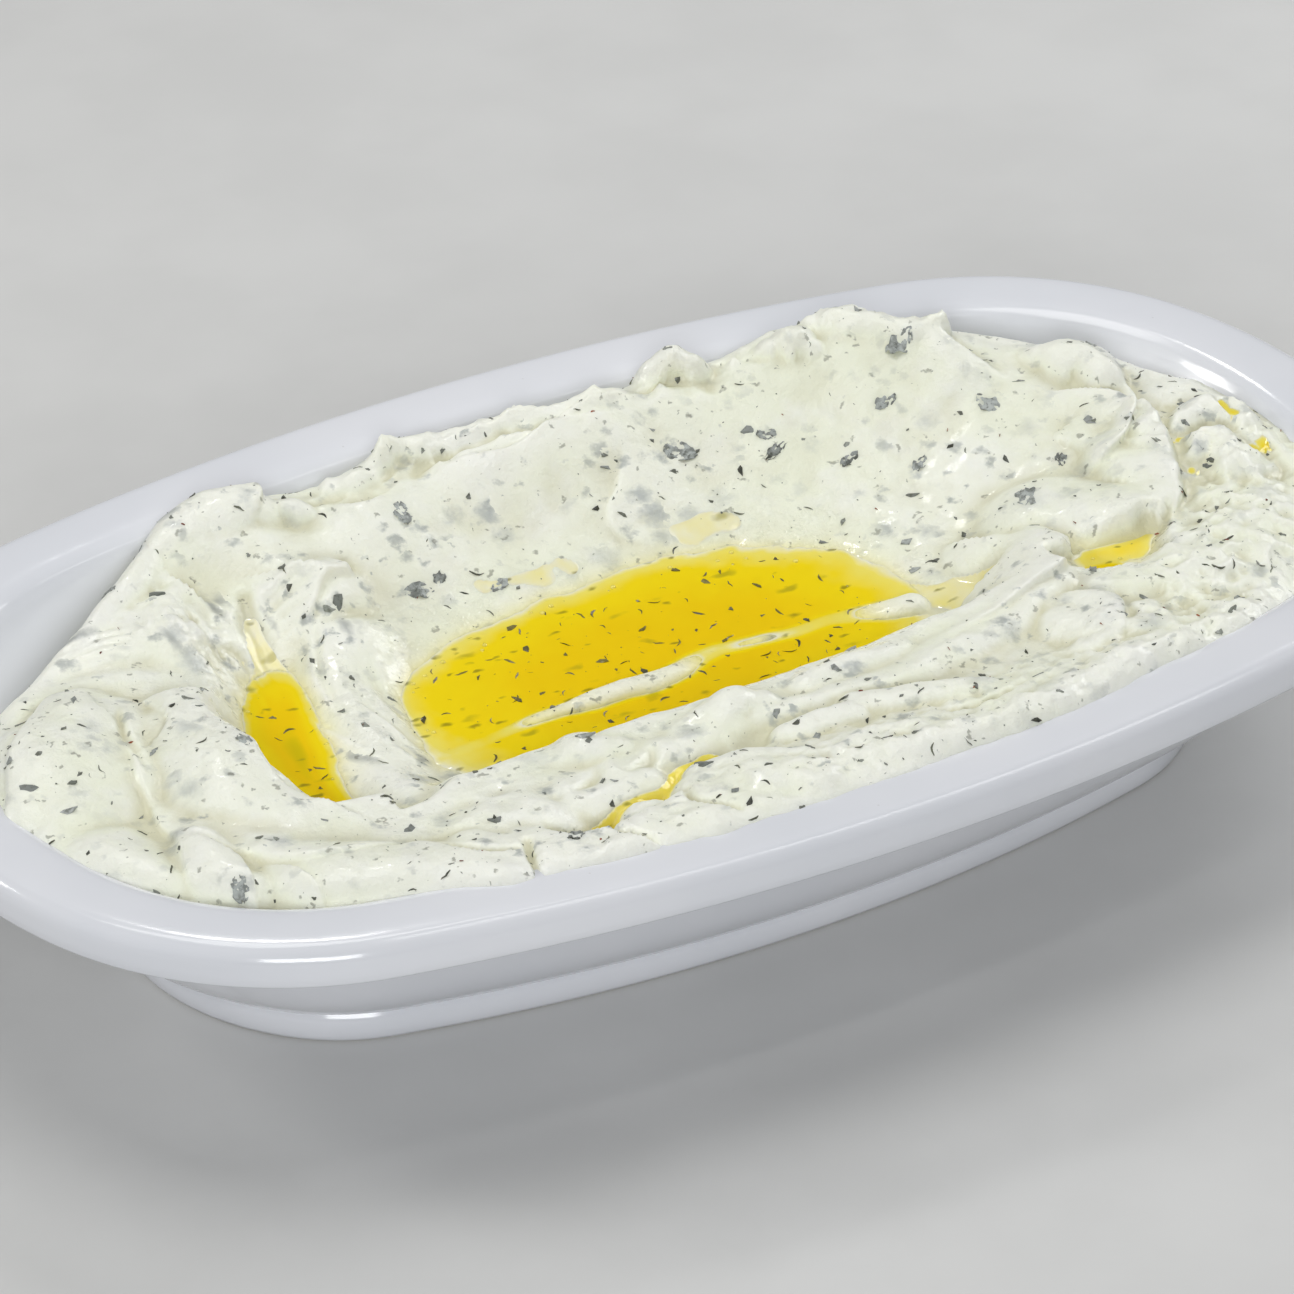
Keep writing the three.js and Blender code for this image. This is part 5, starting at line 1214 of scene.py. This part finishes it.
def leaf_piece():
    """Crumpled leaves laid on the haydari; each is a small closed sheet that follows the ground."""
    steps, across = 15, 9
    points, faces, tones = [], [], []
    heights = spread(SURFACE, 2)
    for number, (x, y, length, width, turn, tone) in enumerate(LEAVES):
        dice = np.random.default_rng(500 + number)
        u, v = np.meshgrid(np.linspace(-1, 1, steps), np.linspace(-1, 1, across), indexing="ij")
        outline = np.sqrt(np.clip(1 - 0.92 * u ** 2, 0, 1)) * (1 + 0.12 * np.sin(7 * u + dice.uniform(0, 6)))
        lx = 0.5 * length * (u + 0.08 * np.sin(3 * v + dice.uniform(0, 6)))
        ly = 0.5 * width * v * outline
        crumple = 0.16 * np.sin(3.6 * u + dice.uniform(0, 6))
        crumple = crumple + 0.14 * np.sin(5.5 * v + 3 * u + dice.uniform(0, 6))
        crumple += 0.1 * np.sin(8 * u - 6 * v + dice.uniform(0, 6)) - 0.12 * (u ** 2 + v ** 2)
        angle = math.radians(turn)
        gx = x + lx * math.cos(angle) - ly * math.sin(angle)
        gy = y + lx * math.sin(angle) + ly * math.cos(angle)
        column = np.clip((gx / RIM_OVAL["length"] + 0.5) * COLUMNS, 0, COLUMNS).round().astype(int)
        row = np.clip((gy / RIM_OVAL["width"] + 0.5) * ROWS, 0, ROWS).round().astype(int)
        ground = np.maximum(heights[row, column], heights[row, column].mean() - 0.5)
        z = ground + 0.1 + crumple
        gx, gy = gx + PUSH[row, column, 0], gy + PUSH[row, column, 1]
        start = len(points)
        for side in (0.06, -0.06):
            points += np.column_stack([gx.ravel(), gy.ravel(), z.ravel() + side]).tolist()
        count = steps * across
        at = lambda i, j, under: start + under * count + i * across + j
        for i in range(steps - 1):
            for j in range(across - 1):
                top = (at(i, j, 0), at(i + 1, j, 0), at(i + 1, j + 1, 0), at(i, j + 1, 0))
                faces.append(top)
                faces.append(tuple(k + count for k in reversed(top)))
        rim = [(i, 0) for i in range(steps)] + [(steps - 1, j) for j in range(1, across)]
        rim += [(i, across - 1) for i in range(steps - 2, -1, -1)]
        rim += [(0, j) for j in range(across - 2, 0, -1)]
        for (i, j), (k, m) in zip(rim, rim[1:] + rim[:1]):
            faces.append((at(i, j, 0), at(i, j, 1), at(k, m, 1), at(k, m, 0)))
        tones += [tone] * (2 * count)
    piece = mesh_piece("mint_leaves", points, faces, leaf_finish())
    keep_attribute(piece, "tone", np.array(tones))
    return piece


leaves = leaf_piece()
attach(leaves, "root")


# ------------------------------------------------------------------ the air bubbles
# The real pieces are small air bubbles that the poured oil left along its edges.

def bubble_piece():
    """Low domes of air, strewn where the oil is 0.12 to 0.7 mm deep."""
    dice = np.random.default_rng(9)
    points, faces, depths = [], [], []
    turns, rises = 10, 4
    for place, cover, count in zip(OIL_PLACES, OIL_COVERS, (26, 6, 4)):
        shore = cover & (OIL_DEPTH > 0.12) & (OIL_DEPTH < 0.7)
        rows, columns = np.nonzero(shore)
        for k in dice.integers(0, len(rows), count):
            x, y = LINES_X[columns[k]], LINES_Y[rows[k]]
            radius = dice.uniform(0.14, 0.42)
            start = len(points)
            for r in range(rises):
                lift = r / rises * math.pi / 2
                for t in range(turns):
                    side = 2 * math.pi * t / turns
                    reach = radius * math.cos(lift)
                    points.append((x + reach * math.cos(side), y + reach * math.sin(side),
                                   place["level"] + 0.75 * radius * math.sin(lift) - (0.1 if r == 0 else 0)))
            points += [(x, y, place["level"] + 0.75 * radius), (x, y, place["level"] - 0.1)]
            for r in range(rises - 1):
                for t in range(turns):
                    a, b = start + r * turns + t, start + r * turns + (t + 1) % turns
                    faces.append((a, b, b + turns, a + turns))
            for t in range(turns):
                after = (t + 1) % turns
                top = start + (rises - 1) * turns
                faces.append((top + t, top + after, start + rises * turns))
                faces.append((start + after, start + t, start + rises * turns + 1))
            depths += [0.25] * (rises * turns + 2)
    piece = mesh_piece("air_bubbles", points, faces, olive_oil)
    keep_attribute(piece, "depth", np.array(depths))
    return piece


bubbles = bubble_piece()
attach(bubbles, "root")


# ------------------------------------------------------------------ the table, the light and the camera
# A plain pale table top; a broad soft light overhead, one at the front left and one at the right; three
# small ones for the gloss on the oil, the wet haydari and the rim; and the camera at the table's edge.

def table_top():
    floor = Finish("pale_table", Roughness=0.6)
    grain = floor.noise(30, detail=4.0)
    colour = floor.mix(grain.rise(0.3, 0.7), (0.60, 0.60, 0.59), (0.63, 0.63, 0.62))
    material = floor.feed(Base_Color=colour)
    half = 1500
    corners = [(-half, -half, 0), (half, -half, 0), (half, half, 0), (-half, half, 0)]
    return mesh_piece("table_top", corners, [(0, 1, 2, 3)], material)


table_top()


def soft_light(name, place_mm, aim_mm, size_mm, watts, colour):
    lamp = bpy.data.lights.new(name, "AREA")
    lamp.shape, lamp.size, lamp.size_y = "RECTANGLE", size_mm[0] * MM, size_mm[1] * MM
    lamp.energy, lamp.color = watts, colour
    holder = bpy.data.objects.new(name, lamp)
    holder.location = Vector(place_mm) * MM
    holder.rotation_euler = (Vector(aim_mm) - Vector(place_mm)).to_track_quat("-Z", "Y").to_euler()
    bpy.context.scene.collection.objects.link(holder)


soft_light("overhead_light", (-60, 160, 670), (0, 0, 25), (420, 340), 1.5, (1.0, 0.995, 0.98))
soft_light("small_light", (120, 420, 520), (0, 0, 25), (80, 60), 0.35, (1.0, 0.99, 0.98))
soft_light("front_light", (-420, -760, 420), (0, 0, 20), (420, 300), 4.4, (0.98, 0.99, 1.0))
soft_light("side_light", (600, 200, 420), (-60, 0, 25), (400, 300), 1.9, (0.98, 0.99, 1.0))
soft_light("left_light", (-560, 420, 420), (0, 0, 30), (160, 160), 1.4, (1.0, 0.995, 0.98))
soft_light("rim_light", (290, -200, 640), (290, -40, 30), (560, 40), 0.35, (1.0, 1.0, 1.0))

world = bpy.data.worlds.new("room")
world.use_nodes = True
world.node_tree.nodes["Background"].inputs["Color"].default_value = (0.93, 0.96, 1.0, 1.0)
world.node_tree.nodes["Background"].inputs["Strength"].default_value = 0.12
bpy.context.scene.world = world
bpy.context.scene.view_settings.view_transform = "Standard"

ELEVATION, AZIMUTH, ROLL = math.radians(32.16), math.radians(-28.91), math.radians(-1.02)
DISTANCE = 928.64
ACROSS, UP = -1.89, 21.43  # how far the camera stands beside the line through the origin
FIELD_SHARE = 1294 / 6656.21  # width of what it sees over its distance


def camera_at_table():
    back = Vector((math.sin(AZIMUTH) * math.cos(ELEVATION), -math.cos(AZIMUTH) * math.cos(ELEVATION),
                   math.sin(ELEVATION)))
    level = Vector((math.cos(AZIMUTH), math.sin(AZIMUTH), 0))
    upward = back.cross(level)
    right = level * math.cos(ROLL) + upward * math.sin(ROLL)
    up = upward * math.cos(ROLL) - level * math.sin(ROLL)
    place = (back * DISTANCE + level * ACROSS + upward * UP) * MM
    lens = bpy.data.cameras.new("camera")
    lens.sensor_width = 36
    lens.lens = 36 / FIELD_SHARE
    holder = bpy.data.objects.new("camera", lens)
    holder.matrix_world = Matrix.Translation(place) @ Matrix((right, up, back)).transposed().to_4x4()
    bpy.context.scene.collection.objects.link(holder)
    return holder


bpy.context.scene.camera = camera_at_table()
